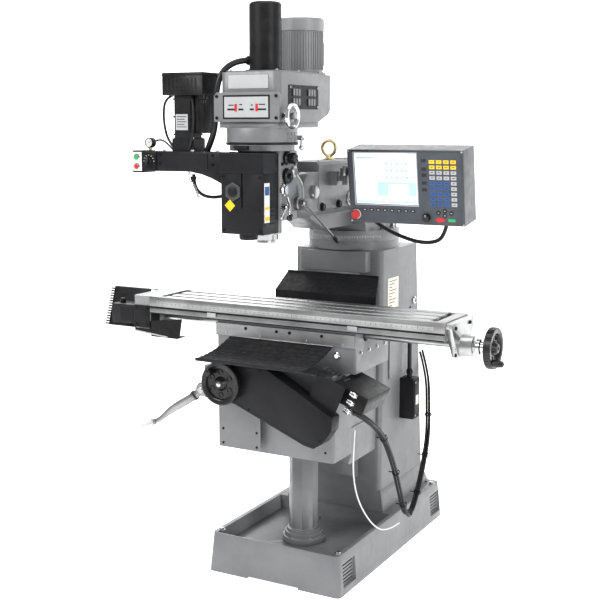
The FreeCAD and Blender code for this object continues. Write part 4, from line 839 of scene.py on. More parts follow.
def make_head_details():
    body = "head"
    side = HEAD_HIGH.x - 0.007
    right = 0.089
    lathe("depth_stop_hub", solid((0.022, 0), (0.022, 0.006), (0.016, 0.010), (0.016, 0.016)),
          (right, -0.575, 1.500), "+x", "chrome", body)
    lathe("feed_trip_hub", solid((0.028, 0), (0.028, 0.012), (0.024, 0.016), (0.010, 0.016), (0.010, 0.024)),
          (right, -0.555, 1.548), "+x", "gloss_black", body)
    tube("feed_trip_lever", [(right + 0.016, -0.575, 1.472), (right + 0.034, -0.585, 1.452),
                             (right + 0.040, -0.600, 1.415)], 0.0045, "chrome", body)
    lathe("feed_trip_knob", [(0, 0), (0.008, 0.001), (0.011, 0.009), (0.008, 0.018), (0, 0.020)],
          (right + 0.040, -0.602, 1.394), "+z", "gloss_black", body)
    lathe("clutch_dial", solid((0.020, 0), (0.020, 0.010), (0.014, 0.014)),
          (right, -0.508, 1.560), "+x", "steel", body)
    points = [(right, y, z) for y, z in ((-0.585, 1.405), (-0.520, 1.405), (-0.585, 1.590), (-0.495, 1.590))]
    screws("head_side_screws", points, "+x", body, "black", 0.006, 0.005)
    lathe("quill_lock_hub", solid((0.011, 0), (0.011, 0.018), (0.007, 0.022)),
          (right, -0.580, 1.440), "+x", "chrome", body)
    tube("quill_lock_lever",
         [(right + 0.016, -0.580, 1.440), (right + 0.020, -0.604, 1.424), (right + 0.022, -0.628, 1.404)],
         0.004, "chrome", body)
    lathe("head_nose_ring", [(0.0445, 0), (0.0555, 0), (0.0555, 0.006), (0.0445, 0.006)],
          (0, SPINDLE_Y, 1.3395), "+z", "steel", body)
    marks = []
    for k in range(18):
        z, end = 1.415 + 0.008 * k, -0.585 if k % 5 == 0 else -0.590
        marks.append(((side + 0.0001, -0.597, z), (side + 0.0016, end, z + 0.0012)))
    blocks("depth_scale_marks", marks, "ivory", body)


def make_quill_cover_details():
    body = "head"
    front = COVER_LOW.y
    corners = [math.radians(60 * k + 30) for k in range(6)]
    hexagon = [(0.034 * math.cos(t), 0.034 * math.sin(t)) for t in corners]
    boss_x, boss_z = -0.034, (COVER_LOW.z + COVER_HIGH.z) / 2 + 0.008
    plate("cover_boss", hexagon, 0.006, (boss_x, front, boss_z), "-y", "slate", body, 0.0025)
    lathe("cover_boss_hub", solid((0.018, 0), (0.018, 0.003), (0.014, 0.005)),
          (boss_x, front - 0.006, boss_z), "-y", "charcoal", body)
    diamond = [(0, -0.021), (0.021, 0), (0, 0.021), (-0.021, 0)]
    plate("cover_plain_diamond", diamond, 0.001, (-0.048, front, boss_z - 0.048), "-y", "yellow", body,
          0.0003)
    side = COVER_HIGH.x
    for label, material, near, far, start, end, low, high in (
            ("strip", "white", -0.001, 0.001, 0.010, 0.045, 1.392, 1.528),
            ("square", "blue", 0, 0.0016, 0.013, 0.042, 1.486, 1.516),
            ("band", "yellow", 0, 0.0016, 0.012, 0.043, 1.438, 1.446),
            ("foot", "yellow", 0, 0.0016, 0.012, 0.043, 1.398, 1.412)):
        block(f"cover_side_{label}", (side + near, front + start, low), (side + far, front + end, high),
              material, body, 0.0003)
    block("cover_top_band", (COVER_LOW.x - 0.004, front - 0.004, 1.560),
          (side + 0.004, front + 0.090, COVER_HIGH.z + 0.003), "charcoal", body, 0.003)
    points = [(x, front, z) for x in (COVER_LOW.x + 0.010, COVER_HIGH.x - 0.010)
              for z in (COVER_LOW.z + 0.012, 1.548)]
    screws("cover_screws", points, "-y", body, "black", 0.0045, 0.003)
    heights = [COVER_LOW.z + 0.034 + 0.014 * k for k in range(5)]
    louvres = [((side - 0.0005, front + 0.052, z), (side + 0.0015, front + 0.080, z + 0.006))
               for z in heights]
    blocks("cover_side_louvres", louvres, "black", body, 0.0006)
    lathe("cover_foot", solid((0.030, 0), (0.033, 0.006), (0.033, 0.024)),
          (-0.004, front + 0.050, COVER_LOW.z - 0.022), "+z", "black", body, 0.001)


def make_arm_details():
    body = "head"
    front = ARM_LOW.y
    plate_low = (ARM_LOW.x + 0.002, front - 0.0062, ARM_LOW.z + 0.054)
    plate_high = (ARM_LOW.x + 0.058, front - 0.0041, ARM_LOW.z + 0.110)
    block("mode_plate", plate_low, plate_high, "black", body, 0.0006)
    centre = (ARM_LOW.x + 0.030, front - 0.0062, ARM_LOW.z + 0.080)
    marks = [((-0.0006, 0.019, 0), (0.0006, 0.024, 0.0004), at(centre, "-y", math.radians(30 * k - 90)))
             for k in range(7)]
    blocks("mode_marks", marks, "white", body)
    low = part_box("switch_box")[0]
    block("switch_face", (low.x + 0.003, low.y - 0.0012, low.z + 0.006),
          (low.x + 0.041, low.y + 0.0004, low.z + 0.074), "white", body, 0.0006)
    for label in ("start_button", "stop_button"):
        b_low, b_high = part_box(label)
        point = ((b_low.x + b_high.x) / 2, low.y - 0.0012, (b_low.z + b_high.z) / 2)
        lathe(f"{label}_bezel", [(0.0082, 0), (0.0125, 0), (0.0125, 0.002), (0.0105, 0.0035),
                                 (0.0082, 0.0035)], point, "-y", "chrome", body)
    points = [(x, front, z) for x in (-0.355, -0.130) for z in (ARM_HIGH.z - 0.012, ARM_HIGH.z - 0.045)]
    screws("arm_screws", points, "-y", body, "black", 0.005, 0.004)
    work = bmesh.new()
    for x in (-0.345, -0.225, -0.12):
        add_hex_screw(work, at((x, front + 0.016, ARM_HIGH.z)), 0.007, 0.006)
    from_bmesh("arm_top_bolts", work, "steel", body)
    block("arm_cover_plate", (-0.335, front - 0.003, ARM_LOW.z + 0.052), (-0.150, front, ARM_HIGH.z - 0.006),
          "charcoal", body, 0.0012)
    lathe("cable_gland", solid((0.011, 0), (0.011, 0.010), (0.008, 0.014), (0.008, 0.020)),
          (-0.225, front + 0.02, ARM_LOW.z + 0.028), "-z", "black", body)


def make_z_servo_details():
    body = "head"
    low, high = SERVO_LOW, SERVO_HIGH
    work = bmesh.new()
    inset = 0.007
    left, right, front, back = low.x + 0.006, high.x - 0.006, low.y + 0.001, high.y - 0.006
    tall = (low.z + 0.045, high.z)
    outline = [(left + inset, front), (right - inset, front), (right, front + inset), (right, back - inset),
               (right - inset, back), (left + inset, back), (left, back - inset), (left, front + inset)]
    add_extrusion(work, outline, tall[1] - tall[0], Matrix.Translation((0, 0, tall[0])))
    add_block(work, (low.x, low.y, low.z), (high.x, high.y, low.z + 0.045))
    for k in range(3):
        z = tall[0] + 0.012 + 0.062 * k
        add_block(work, (left - 0.001, front - 0.001, z), (right + 0.001, back + 0.001, z + 0.006))
    servo = from_bmesh("z_servo_body", work, "black", body, 0.0016)
    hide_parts("z_servo_motor")
    block("z_servo_label", (left + 0.012, front - 0.0022, tall[0] + 0.030),
          (right - 0.016, front - 0.0008, tall[0] + 0.086), "case", body, 0.0004)
    rules = []
    for k in range(5):
        z, end = tall[0] + 0.040 + 0.009 * k, right - 0.022 - 0.008 * (k % 2)
        rules.append(((left + 0.017, front - 0.0027, z), (end, front - 0.0021, z + 0.0025)))
    blocks("z_servo_label_rules", rules, "black", body)
    points = [(x, y, low.z + 0.045) for x in (low.x + 0.006, high.x - 0.006)
              for y in (low.y + 0.007, high.y - 0.007)]
    screws("z_servo_bolts", points, "+z", body, "steel", 0.0042, 0.004)


def make_servo_housing_details():
    body = "head"
    low, high = HOUSING_LOW, HOUSING_HIGH
    starts = [low.x + 0.022 + 0.017 * k for k in range(8)]
    vents = [((x, low.y - 0.0012, high.z - 0.060), (x + 0.007, low.y + 0.001, high.z - 0.020))
             for x in starts]
    blocks("housing_vents", vents, "gloss_black", body, 0.0008)
    lip = 0.002
    block("housing_lip", (low.x - lip, low.y - lip, high.z - 0.010),
          (high.x + lip, high.y + lip, high.z - 0.006), "black", body, 0.0008)
    lathe("drive_cap", solid((0.016, 0), (0.016, 0.014), (0.011, 0.018), (0.011, 0.030)),
          (low.x + 0.150, low.y + 0.035, high.z - 0.079), "-z", "gloss_black", body)


def make_hoses():
    body = "head"
    tube("head_hose", [(-0.052, -0.560, 1.950), (-0.085, -0.600, 1.950), (-0.128, -0.640, 1.905),
                       (-0.140, -0.652, 1.820), (-0.148, -0.640, 1.730), (-0.170, -0.632, 1.672),
                       (-0.196, -0.628, 1.628)], 0.011, "hose", body)
    lathe("hose_gland", solid((0.017, 0), (0.017, 0.010), (0.014, 0.016)), (-0.050, -0.560, 1.950), "-x",
          "black", body)
    left_line = [(-0.318, -0.655, 1.83), (-0.352, -0.655, 1.82), (-0.362, -0.656, 1.76),
                 (-0.348, -0.660, 1.69), (-0.322, -0.664, 1.655), (-0.300, -0.664, ARM_TOP)]
    tube("air_line_left", left_line, 0.0045, "cable", body)
    tube("air_line_right", [(-0.232, -0.664, 1.83), (-0.214, -0.680, 1.80), (-0.212, -0.684, 1.72),
                            (-0.226, -0.680, 1.66), (-0.240, -0.676, ARM_TOP)], 0.0045, "cable", body)
    tube("gauge_line", [(-0.438, -0.622, 1.660), (-0.438, -0.600, 1.668), (-0.410, -0.596, 1.672),
                        (-0.372, -0.604, 1.650), (-0.350, -0.612, ARM_TOP)], 0.0035, "cable", body)
    tube("head_lead", [(-0.225, -0.668, 1.552), (-0.225, -0.668, 1.505), (-0.196, -0.640, 1.468),
                       (-0.140, -0.600, 1.470), (-0.088, -0.560, 1.500)], 0.006, "cable", body)
    tube("switch_rod", [(-0.232, -0.684, 1.560), (-0.240, -0.690, 1.532), (-0.200, -0.696, 1.512),
                        (-0.192, -0.690, 1.470)], 0.004, "chrome", body)


def make_gauge():
    low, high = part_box("pressure_gauge")
    x, z = (low.x + high.x) / 2, high.z - 0.019
    profile = solid((0.017, 0), (0.019, 0.002), (0.019, 0.020), (0.0175, 0.024), (0.016, 0.024),
                    (0.016, 0.021))
    gauge = lathe("gauge_case", profile, (x, high.y, z), "-y", "gloss_black", "head")
    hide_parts("pressure_gauge")
    face = high.y - 0.0212
    lathe("gauge_face", solid((0.0158, 0), (0.0158, 0.0006)), (x, face, z), "-y", "white", "head")
    marks = [((-0.0003, 0.0115, 0.0006), (0.0003, 0.0145, 0.0009),
              at((x, face, z), "-y", math.radians(24 * k - 120))) for k in range(11)]
    needle = ((-0.0005, -0.003, 0.0009), (0.0005, 0.012, 0.0013), at((x, face, z), "-y", math.radians(-60)))
    blocks("gauge_marks", [*marks, needle], "black", "head")
    lathe("gauge_stem", solid((0.006, 0), (0.006, 0.006), (0.009, 0.006), (0.009, 0.014), (0.005, 0.014),
                              (0.005, 0.022)), (x, high.y - 0.012, ARM_TOP), "+z", "zinc", "head")


def make_head_controls():
    low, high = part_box("speed_handwheel")
    centre_y, centre_z = (low.y + high.y) / 2, (low.z + high.z) / 2
    rim = [(0.029, -0.006), (0.036, -0.008), (0.043, -0.004), (0.0445, 0.002), (0.042, 0.007),
           (0.036, 0.008), (0.030, 0.003)]
    wheel = lathe("speed_wheel", rim, (low.x + 0.045, centre_y, centre_z), "+x", "chrome", "speed_handwheel",
                  steps=72)
    disc = [(0, -0.002), (0.0295, -0.004), (0.0295, 0.002), (0.024, 0.004), (0.020, 0.001), (0.012, 0.001),
            (0.011, 0.008), (0.007, 0.010), (0, 0.010)]
    lathe("speed_wheel_disc", disc, (low.x + 0.045, centre_y, centre_z), "+x", "dark_steel",
          "speed_handwheel")
    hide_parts("speed_handwheel")
    lathe("speed_wheel_shaft", solid((0.011, 0), (0.011, 0.016), (0.008, 0.018), (0.008, 0.036)),
          (low.x, centre_y, centre_z), "+x", "chrome", "speed_handwheel")
    low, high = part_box("feed_selector")
    centre = (low.x, (low.y + high.y) / 2, (low.z + high.z) / 2)
    work = bmesh.new()
    add_lathe(work, solid((0.024, 0), (0.024, 0.010), (0.020, 0.014), (0.016, 0.014), (0.016, 0.020)),
              steps=48)
    outline = []
    for t in (2 * math.pi * k / 48 for k in range(48)):
        reach = 0.0175 + 0.0022 * math.cos(6 * t)
        outline.append((reach * math.cos(t), reach * math.sin(t)))
    add_extrusion(work, outline, 0.020, at((0, 0, 0.020)))
    knob = from_bmesh("selector_knob", work, "gloss_black", "feed_selector", 0.001, at(centre, "+x"))
    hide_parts("feed_selector")
    low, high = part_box("quill_feed_handle")
    hub = (low.x, low.y + 0.027, 1.448)
    handle = lathe("feed_handle_hub",
                   solid((0.027, 0), (0.027, 0.014), (0.024, 0.018), (0.014, 0.018), (0.014, 0.034),
                         (0.009, 0.038)), hub, "+x", "dark_steel", "quill_feed_handle")
    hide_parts("quill_feed_handle")
    start = Vector((low.x + 0.0305, hub[1], hub[2]))
    end = start + Vector((0.033, 0.178, -0.138))
    tube("feed_handle_rod", [start, start + (end - start) * 0.5, end], 0.0045, "dark_steel",
         "quill_feed_handle")
    grip = [(0, -0.012), (0.0065, -0.012), (0.0095, -0.002), (0.0098, 0.012), (0.0078, 0.024), (0, 0.026)]
    turn = (end - start).to_track_quat("Z", "Y").to_matrix().to_4x4()
    lathe("feed_handle_grip", grip, (0, 0, 0), "+z", "gloss_black", "quill_feed_handle", steps=32,
          place=Matrix.Translation(end) @ turn)


make_belt_housing_details()
make_motor_details()
make_drawbar_details()
make_gear_details()
make_head_details()
make_quill_cover_details()
make_arm_details()
make_z_servo_details()
make_servo_housing_details()
make_hoses()
make_gauge()
make_head_controls()

# ------------------------------------------------------------------ knee


def make_y_wheel():
    wheel = hand_wheel("y_wheel", 0.070, 0.010, (Y_WHEEL_X, -0.616, Y_WHEEL_Z), "-y", "y_handwheel", 0.023)
    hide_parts("y_handwheel")
    lathe("y_wheel_dial", solid((0.030, 0), (0.030, 0.010), (0.027, 0.012), (0.012, 0.012), (0.012, 0.022)),
          (Y_WHEEL_X, -0.594, Y_WHEEL_Z), "-y", "steel", "y_handwheel")
    lathe("y_wheel_nut", solid((0.011, 0), (0.011, 0.005), (0.006, 0.007)),
          (Y_WHEEL_X, -0.630, Y_WHEEL_Z), "-y", "chrome", "y_handwheel")
    knob = [(0, 0), (0.006, 0), (0.006, 0.006), (0.012, 0.010), (0.0135, 0.024), (0.011, 0.040), (0, 0.043)]
    lathe("y_wheel_knob", knob, (-0.188, -0.612, 0.829), "-y", "gloss_black", "y_handwheel")


def make_crank_arm():
    """A cast crank arm: a bent bar, thick at its hub, with a boss at each end and a collar."""
    body = "knee_crank"
    y = -0.531
    bends = [CRANK_HUB, (-0.340, 0.690), (-0.400, 0.655), (-0.447, 0.624), (-0.486, 0.590), (-0.505, 0.578),
             CRANK_TIP]
    path = curve_path([(x, y, z) for x, z in bends])
    shares = [k / (len(path) - 1) for k in range(len(path))]
    radii = [0.0150 - 0.0065 * share + 0.003 * math.sin(math.pi * min(1, share * 1.6)) for share in shares]
    arm = swept("crank_arm", path, radii, "crank", flat=0.62)
    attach(arm, body)
    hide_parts("knee_crank")
    work = bmesh.new()
    add_lathe(work, solid((0.024, 0), (0.027, 0.004), (0.027, 0.036), (0.023, 0.044)),
              at((CRANK_HUB[0], -0.505, CRANK_HUB[1]), "-y"))
    add_lathe(work, solid((0.011, 0), (0.013, 0.003), (0.013, 0.020), (0.009, 0.024)),
              at((CRANK_TIP[0], -0.520, CRANK_TIP[1]), "-y"))
    from_bmesh("crank_bosses", work, "crank", body, 0.001)
    work = bmesh.new()
    add_lathe(work, solid((0.0195, 0), (0.0195, 0.010), (0.0165, 0.013)),
              Matrix.Translation((-0.324, y, 0.703)) @ Matrix.Rotation(math.radians(-127), 4, "Y"))
    from_bmesh("crank_collar", work, "dark_steel", body)


def make_crank_grip():
    low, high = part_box("crank_grip")
    x, z = (low.x + high.x) / 2, (low.z + high.z) / 2
    length = high.y - low.y
    profile = solid((0.0095, 0), (0.011, 0.004), (0.0125, length * 0.4), (0.0128, length * 0.75),
                    (0.010, length - 0.004), (0.007, length))
    grip = lathe("crank_hand_grip", profile, (x, high.y, z), "-y", "grip", "crank_grip")
    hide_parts("crank_grip")
    lathe("crank_hub_cap", solid((0.013, 0), (0.013, 0.006), (0.009, 0.009)),
          (CRANK_HUB[0], -0.549, CRANK_HUB[1]), "-y", "steel", "knee_crank")


def make_guard_details():
    body = "knee"
    front = GUARD_LOW.y
    spots = [(-0.068, 0.030), (-0.040, 0.058), (0.150, 0.058), (0.420, -0.086), (0.395, -0.170),
             (0.100, -0.094)]
    points = [(Y_WHEEL_X + x, front, Y_WHEEL_Z + z) for x, z in spots]
    screws("belt_guard_screws", points, "-y", body, "black", 0.0042, 0.003)
    seam = [(-0.076, 0.036), (-0.046, 0.063), (0.166, 0.063), (0.434, -0.087), (0.430, -0.128),
            (0.398, -0.174), (0.368, -0.193), (0.333, -0.187), (0.038, -0.069), (-0.036, -0.071),
            (-0.076, -0.018)]
    line = [(Y_WHEEL_X + x, front + 0.0006, Y_WHEEL_Z + z) for x, z in seam + seam[:1]]
    data = round_curve("belt_guard_seam", line, 0.0012, 2, "POLY")[0]
    data.materials.append(MATERIALS["black"])
    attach(show("belt_guard_seam", data), body)
    lathe("y_bearing_cap", solid((0.032, 0), (0.032, 0.003), (0.024, 0.004)),
          (Y_WHEEL_X, front + 0.001, Y_WHEEL_Z), "-y", "charcoal", body)


def make_y_servo_details():
    body = "knee"
    place = Matrix.Translation((0.248, -0.5295, 0.763)) @ Matrix.Rotation(math.radians(22), 4, "Y")
    half_x, half_z = 0.070, 0.099
    front = -0.033
    block("y_servo_face", (-half_x + 0.012, front - 0.0016, -half_z + 0.016),
          (half_x - 0.012, front + 0.001, half_z - 0.022), "charcoal", body, 0.001, place)
    points = [(x, front - 0.0012, z) for x in (-half_x + 0.018, half_x - 0.018)
              for z in (-half_z + 0.024, half_z - 0.030)]
    screws("y_servo_screws", points, "-y", body, "black", 0.0042, 0.003, place=place)
    starts = [-half_x + 0.020 + 0.018 * k for k in range(6)]
    vents = [((x, -0.028, half_z - 0.002), (x + 0.009, 0.008, half_z + 0.0004)) for x in starts]
    blocks("y_servo_vents", vents, "gloss_black", body, 0.0, place)
    work = bmesh.new()
    connector = solid((0.0105, 0), (0.0105, 0.008), (0.0125, 0.010), (0.0125, 0.020), (0.009, 0.024),
                      (0.009, 0.030))
    for x, z in ((half_x, 0.052), (half_x, 0.020), (half_x, -0.014)):
        add_lathe(work, connector, place @ at((x - 0.001, 0.006, z), "+x"), 28)
    from_bmesh("y_servo_connectors", work, "chrome", body, 0.0)


def make_knee_details():
    body = "knee"
    front = KNEE_LOW.y
    block("knee_front_plate", (-0.236, front - 0.0015, 0.508), (-0.052, front + 0.001, 0.700), "body", body,
          0.0012)
    block("knee_way_right", (0.160, front + 0.006, 0.8258), (0.234, -0.420, 0.8263), "steel", body, 0)
    block("knee_way_left", (-0.234, front + 0.006, 0.8258), (-0.160, -0.420, 0.8263), "steel", body, 0)
    points = [(x, front - 0.0015, z) for x in (-0.216, -0.068)
              for z in (0.524, 0.580)] + [(0.222, front, 0.545)]
    screws("knee_front_screws", points, "-y", body, "black", 0.0045, 0.003)
    for label, sign, axis in SIDES:
        x = sign * 0.178
        ribs = [side_box(x, sign * 0.004, (-0.300, low), (-0.060, high)) for low,
                high in ((0.540, 0.560), (0.700, 0.712))]
        blocks(f"knee_ribs_{label}", ribs, "body", body, 0.0015)
        points = [(x, y, 0.61) for y in (-0.265, -0.180, -0.095)]
        screws(f"gib_screws_{label}", points, axis, body, "black", 0.006, 0.005, hexed=True)


make_y_wheel()
make_crank_arm()
make_crank_grip()
make_guard_details()
make_y_servo_details()
make_knee_details()

# ------------------------------------------------------------------ saddle and way covers


def make_saddle_details():
    body = "saddle"
    front = SADDLE_LOW.y
    block("saddle_bright_strip", (-0.2955, front - 0.0008, 0.9235), (0.2955, front + 0.003, 0.9705),
          "steel_x", body, 0.0008)
    points = [(x, front - 0.0008, 0.958) for x in (-0.163, -0.028, 0.028, 0.163)]
    screws("saddle_screws", points, "-y", body, "black", 0.006, 0.003)
    points = [(x, front - 0.0008, 0.934) for x in (-0.250, -0.100, 0.100, 0.250)]
    screws("saddle_lower_screws", points, "-y", body, "steel", 0.0045, 0.002)
    for label, x in (("left", -0.225), ("right", 0.225)):
        lathe(f"table_lock_{label}", solid((0.013, 0), (0.013, 0.004), (0.008, 0.006), (0.008, 0.010)),
              (x, front + 0.0055, 0.890), "-y", "chrome", body)
    points = [(0.298, y, 0.90) for y in (-0.37, -0.30, -0.23, -0.16)]
    screws("saddle_gib_screws", points, "+x", body, "steel", 0.006, 0.005, True)


def make_front_apron():
    body = "saddle"
    top_y, top_z = -0.422, 0.926
    end_y, end_z = -0.668, 0.882
    steps = 28
    outline = []
    for k in range(steps + 1):
        t = k / steps
        ripple = 0.0012 * math.sin(k * 1.9)
        outline.append((top_y + (end_y - top_y) * t, end_z + (top_z - end_z) * (1 - t) ** 2.2 + ripple))
    lower = [(y, z - 0.004) for y, z in reversed(outline)]
    work = bmesh.new()
    add_extrusion(work, outline + lower, 0.440, across(-0.230))
    edge = Matrix.Translation((-0.230, end_y + 0.004, end_z - 0.004)) @ TURNS["+x"]
    add_lathe(work, solid((0.0065, 0), (0.0065, 0.440)), edge, 20)
    apron = from_bmesh("apron_sheet", work, "rubber", body, 0.0008)
    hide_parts("front_apron")
    block("apron_clamp", (-0.230, -0.4285, 0.919), (0.210, -0.4222, 0.9255), "steel", body, 0.0008)


def pleated_sheet(name, line, half, flare):
    """A pleated sheet; flare widens its right side at each edge."""
    pleats = 13
    fold = 0.0022
    (start_y, start_z), (end_y, end_z) = line
    outline = []
    for k in range(pleats + 1):
        y = start_y + (end_y - start_y) * k / pleats
        z = start_z + (end_z - start_z) * k / pleats
        outline.append((y - fold * 0.35 * (k % 2), z - fold * 0.8 * (k % 2)))
    back = [(y + 0.003, z + 0.0008) for y, z in reversed(outline)]
    work = bmesh.new()
    add_extrusion(work, outline + back, 2 * half, across(-half))
    for vert in work.verts:
        if vert.co.x > 0:
            share = (start_z - vert.co.z) / (start_z - end_z)
            vert.co.x += flare[0] + (flare[1] - flare[0]) * min(1, max(0, share))
    bmesh.ops.recalc_face_normals(work, faces=work.faces[:])
    mesh = to_mesh(name, work, MATERIALS["rubber"])
    smooth_by_angle(mesh, 50)
    sheet = show(name, mesh)
    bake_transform(sheet)
    return sheet


def make_way_cover():
    top, bend, foot = (-0.0155, 1.131), (-0.122, 1.068), (-0.122, 0.988)
    upper = pleated_sheet("way_cover_upper", (top, bend), 0.2045, (0, 0.038))
    lower = pleated_sheet("way_cover_lower", (bend, foot), 0.2045, (0.038, 0.038))
    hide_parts("rear_way_cover")
    block("way_cover_batten", (-0.205, -0.0195, 1.1235), (0.205, -0.0152, 1.1345), "charcoal",
          "machine_frame", 0.0006)
    points = [(x, -0.0195, 1.129) for x in (-0.18, -0.06, 0.06, 0.18)]
    screws("way_cover_screws", points, "-y", "machine_frame", "black", 0.004, 0.002)


make_saddle_details()
make_front_apron()
make_way_cover()

# ------------------------------------------------------------------ table


def make_table_details():
    body = "table"
    front, top = TABLE_LOW.y, TABLE_HIGH.z
    block("table_scale", (-0.560, front - 0.0008, top - 0.030), (0.610, front + 0.002, top - 0.018), "steel",
          body, 0.0004)
    marks = []
    for k in range(58):
        x, end = 0.02 * k - 0.55, top - (0.0200 if k % 5 == 0 else 0.0230)
        marks.append(((x, front - 0.0012, top - 0.0290), (x + 0.0010, front - 0.0006, end)))
    blocks("table_scale_marks", marks, "black", body)
    stops = [((x - 0.020, front - 0.006, top - 0.058), (x + 0.020, front, top - 0.042))
             for x in (-0.30, 0.30)]
    blocks("table_stops", stops, "steel", body, 0.0012)
    # A black strip along the table's front: painted shade standing for the groove.
    groove_low, groove_high = TABLE_LOW.z + 0.022, TABLE_LOW.z + 0.029
    block("table_groove_painted_shade", (-0.593, front - 0.0005, groove_low), (0.650, front + 0.002, groove_high), "black",
          body, 0.0004)
    # A black line along the foot of the table's front: painted shadow under its lower edge.
    block("table_foot_painted_shadow", (-0.593, front - 0.0005, TABLE_LOW.z),
          (0.650, front + 0.002, TABLE_LOW.z + 0.004), "black", body, 0.0004)
    fold = [(-0.674, 0.952), (-0.600, 0.952), (-0.445, 0.972), (-0.458, 0.893), (-0.515, 0.893),
            (-0.674, 0.908)]
    plate("chip_shield", fold, 0.003, (0, -0.437, 0), "-y", "black", body, 0.0008)
    tray = (-0.595, -0.440, 0.890)
    walls = [(tray, (-0.468, -0.384, 0.8935)), (tray, (-0.591, -0.384, 0.984))]
    blocks("chip_shield_tray", walls, "charcoal", body, 0.0008)
    slope = Matrix.Translation((-0.594, -0.4405, 0.9015)) @ Matrix.Rotation(math.radians(5.5), 4, "Y")
    blocks("chip_shield_edge", [((-0.080, -0.0016, -0.003), (0.080, 0.0010, 0.003), slope)], "steel", body,
           0.0005)
    points = [(0.675, y, z) for y in (-0.405, -0.262) for z in (0.935, 1.030)]
    screws("right_bracket_screws", points, "+x", body, "black", 0.007, 0.005)
    lathe("bearing_cap", solid((0.036, 0), (0.036, 0.003), (0.022, 0.004)), (0.7175, SCREW_Y, SCREW_Z), "+x",
          "chrome", body)
    block("left_bracket_face", (-0.674, -0.4445, 0.924), (-0.598, -0.4395, 1.014), "black", body, 0.002)
    screws("left_bracket_screws", [(x, -0.4445, z) for x in (-0.662, -0.610) for z in (0.936, 1.002)], "-y",
           body, "black", 0.005, 0.003)


def make_x_servo_details():
    body = "table"
    low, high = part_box("x_servo_motor")
    block("x_servo_plate", (-0.800, -0.3722, 0.930), (-0.730, -0.3703, 0.982), "charcoal", body, 0.0006)
    screws("x_servo_bolts", [(-0.7025, y, z) for y in (low.y + 0.012, high.y - 0.012)
                             for z in (low.z + 0.012, high.z - 0.012)], "-x", body, "steel", 0.005, 0.004)
    lathe("x_servo_gland", solid((0.012, 0), (0.012, 0.012), (0.009, 0.018)),
          (-0.815, -0.331, high.z - 0.004), "+z", "black", body)


def make_guard_fins():
    body = "table"
    direction = Vector((0, 0.052, 0.157)).normalized()
    spots = [Vector((0, -0.284, 0.884)) + direction * (0.003 + 0.0108 * k) for k in range(15)]
    fins = [((-0.946, spot.y - 0.004, spot.z), (-0.926, spot.y + 0.001, spot.z + 0.0062)) for spot in spots]
    blocks("guard_fins", fins, "black", body, 0.0006)
    screws("guard_screws", [(x, -0.2255, 1.0428) for x in (-0.72, -0.66, -0.61)], "+z", body, "steel",
           0.0045, 0.002)


def make_x_wheel():
    body = "x_handwheel"
    centre = (0.786, SCREW_Y, SCREW_Z)
    wheel = hand_wheel("x_wheel", 0.063, 0.010, centre, "+x", body, 0.022)
    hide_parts("x_handwheel")
    lathe("x_wheel_neck", solid((0.021, 0), (0.021, 0.010), (0.030, 0.010), (0.030, 0.022), (0.021, 0.024),
                                (0.021, 0.040)), (0.721, SCREW_Y, SCREW_Z), "+x", "chrome", body)
    marks = [((0.0298, -0.0004, 0.001), (0.0303, 0.0004, 0.0070 if k % 5 == 0 else 0.0048), place)
             for k, place in enumerate(spread(40, at((0.731, SCREW_Y, SCREW_Z), "+x")))]
    blocks("x_dial_marks", marks, "black", body)
    lathe("x_screw", solid((0.012, 0), (0.012, 1.360)), (-0.642, SCREW_Y, SCREW_Z), "+x", "steel", body)
    lathe("x_wheel_nut", solid((0.010, 0), (0.010, 0.004), (0.006, 0.006)), (0.7945, SCREW_Y, SCREW_Z), "+x",
          "chrome", body)
    knob = [(0, 0), (0.006, 0), (0.006, 0.008), (0.012, 0.014), (0.0135, 0.030), (0.011, 0.050), (0, 0.056)]
    lathe("x_wheel_knob", knob, (0.787, -0.375, 0.914), "+x", "gloss_black", body)


make_table_details()
make_x_servo_details()
make_guard_fins()
make_x_wheel()

# ------------------------------------------------------------------ console

CONSOLE = Matrix.Translation((0.442, -0.320, 1.505)) @ Matrix.Rotation(math.radians(9), 4, "X")
WINDOW = (-0.1955, -0.064, 0.0465, 0.122)
STOP_X, STOP_Z, STOP_HOLE = -0.1975, -0.104, 0.0098
JOG = CONSOLE @ at((0.0785, 0, -0.106), "-y")


def console_blocks(name, boxes, material, depth=0.0016, front=0.0, bevel=0.0004):
    """Blocks on the console's face: each box is (left, bottom, right, top), standing proud of it."""
    corners = [((left, front - depth, bottom), (right, front + 0.001, top)) for left, bottom, right,
               top in boxes]
    return blocks(name, corners, material, "console", bevel, CONSOLE)


def key_boxes(left, bottom, columns, rows, pitch, size):
    return [(left + pitch[0] * i, bottom + pitch[1] * j, left + pitch[0] * i + size[0],
             bottom + pitch[1] * j + size[1]) for i in range(columns) for j in range(rows)]


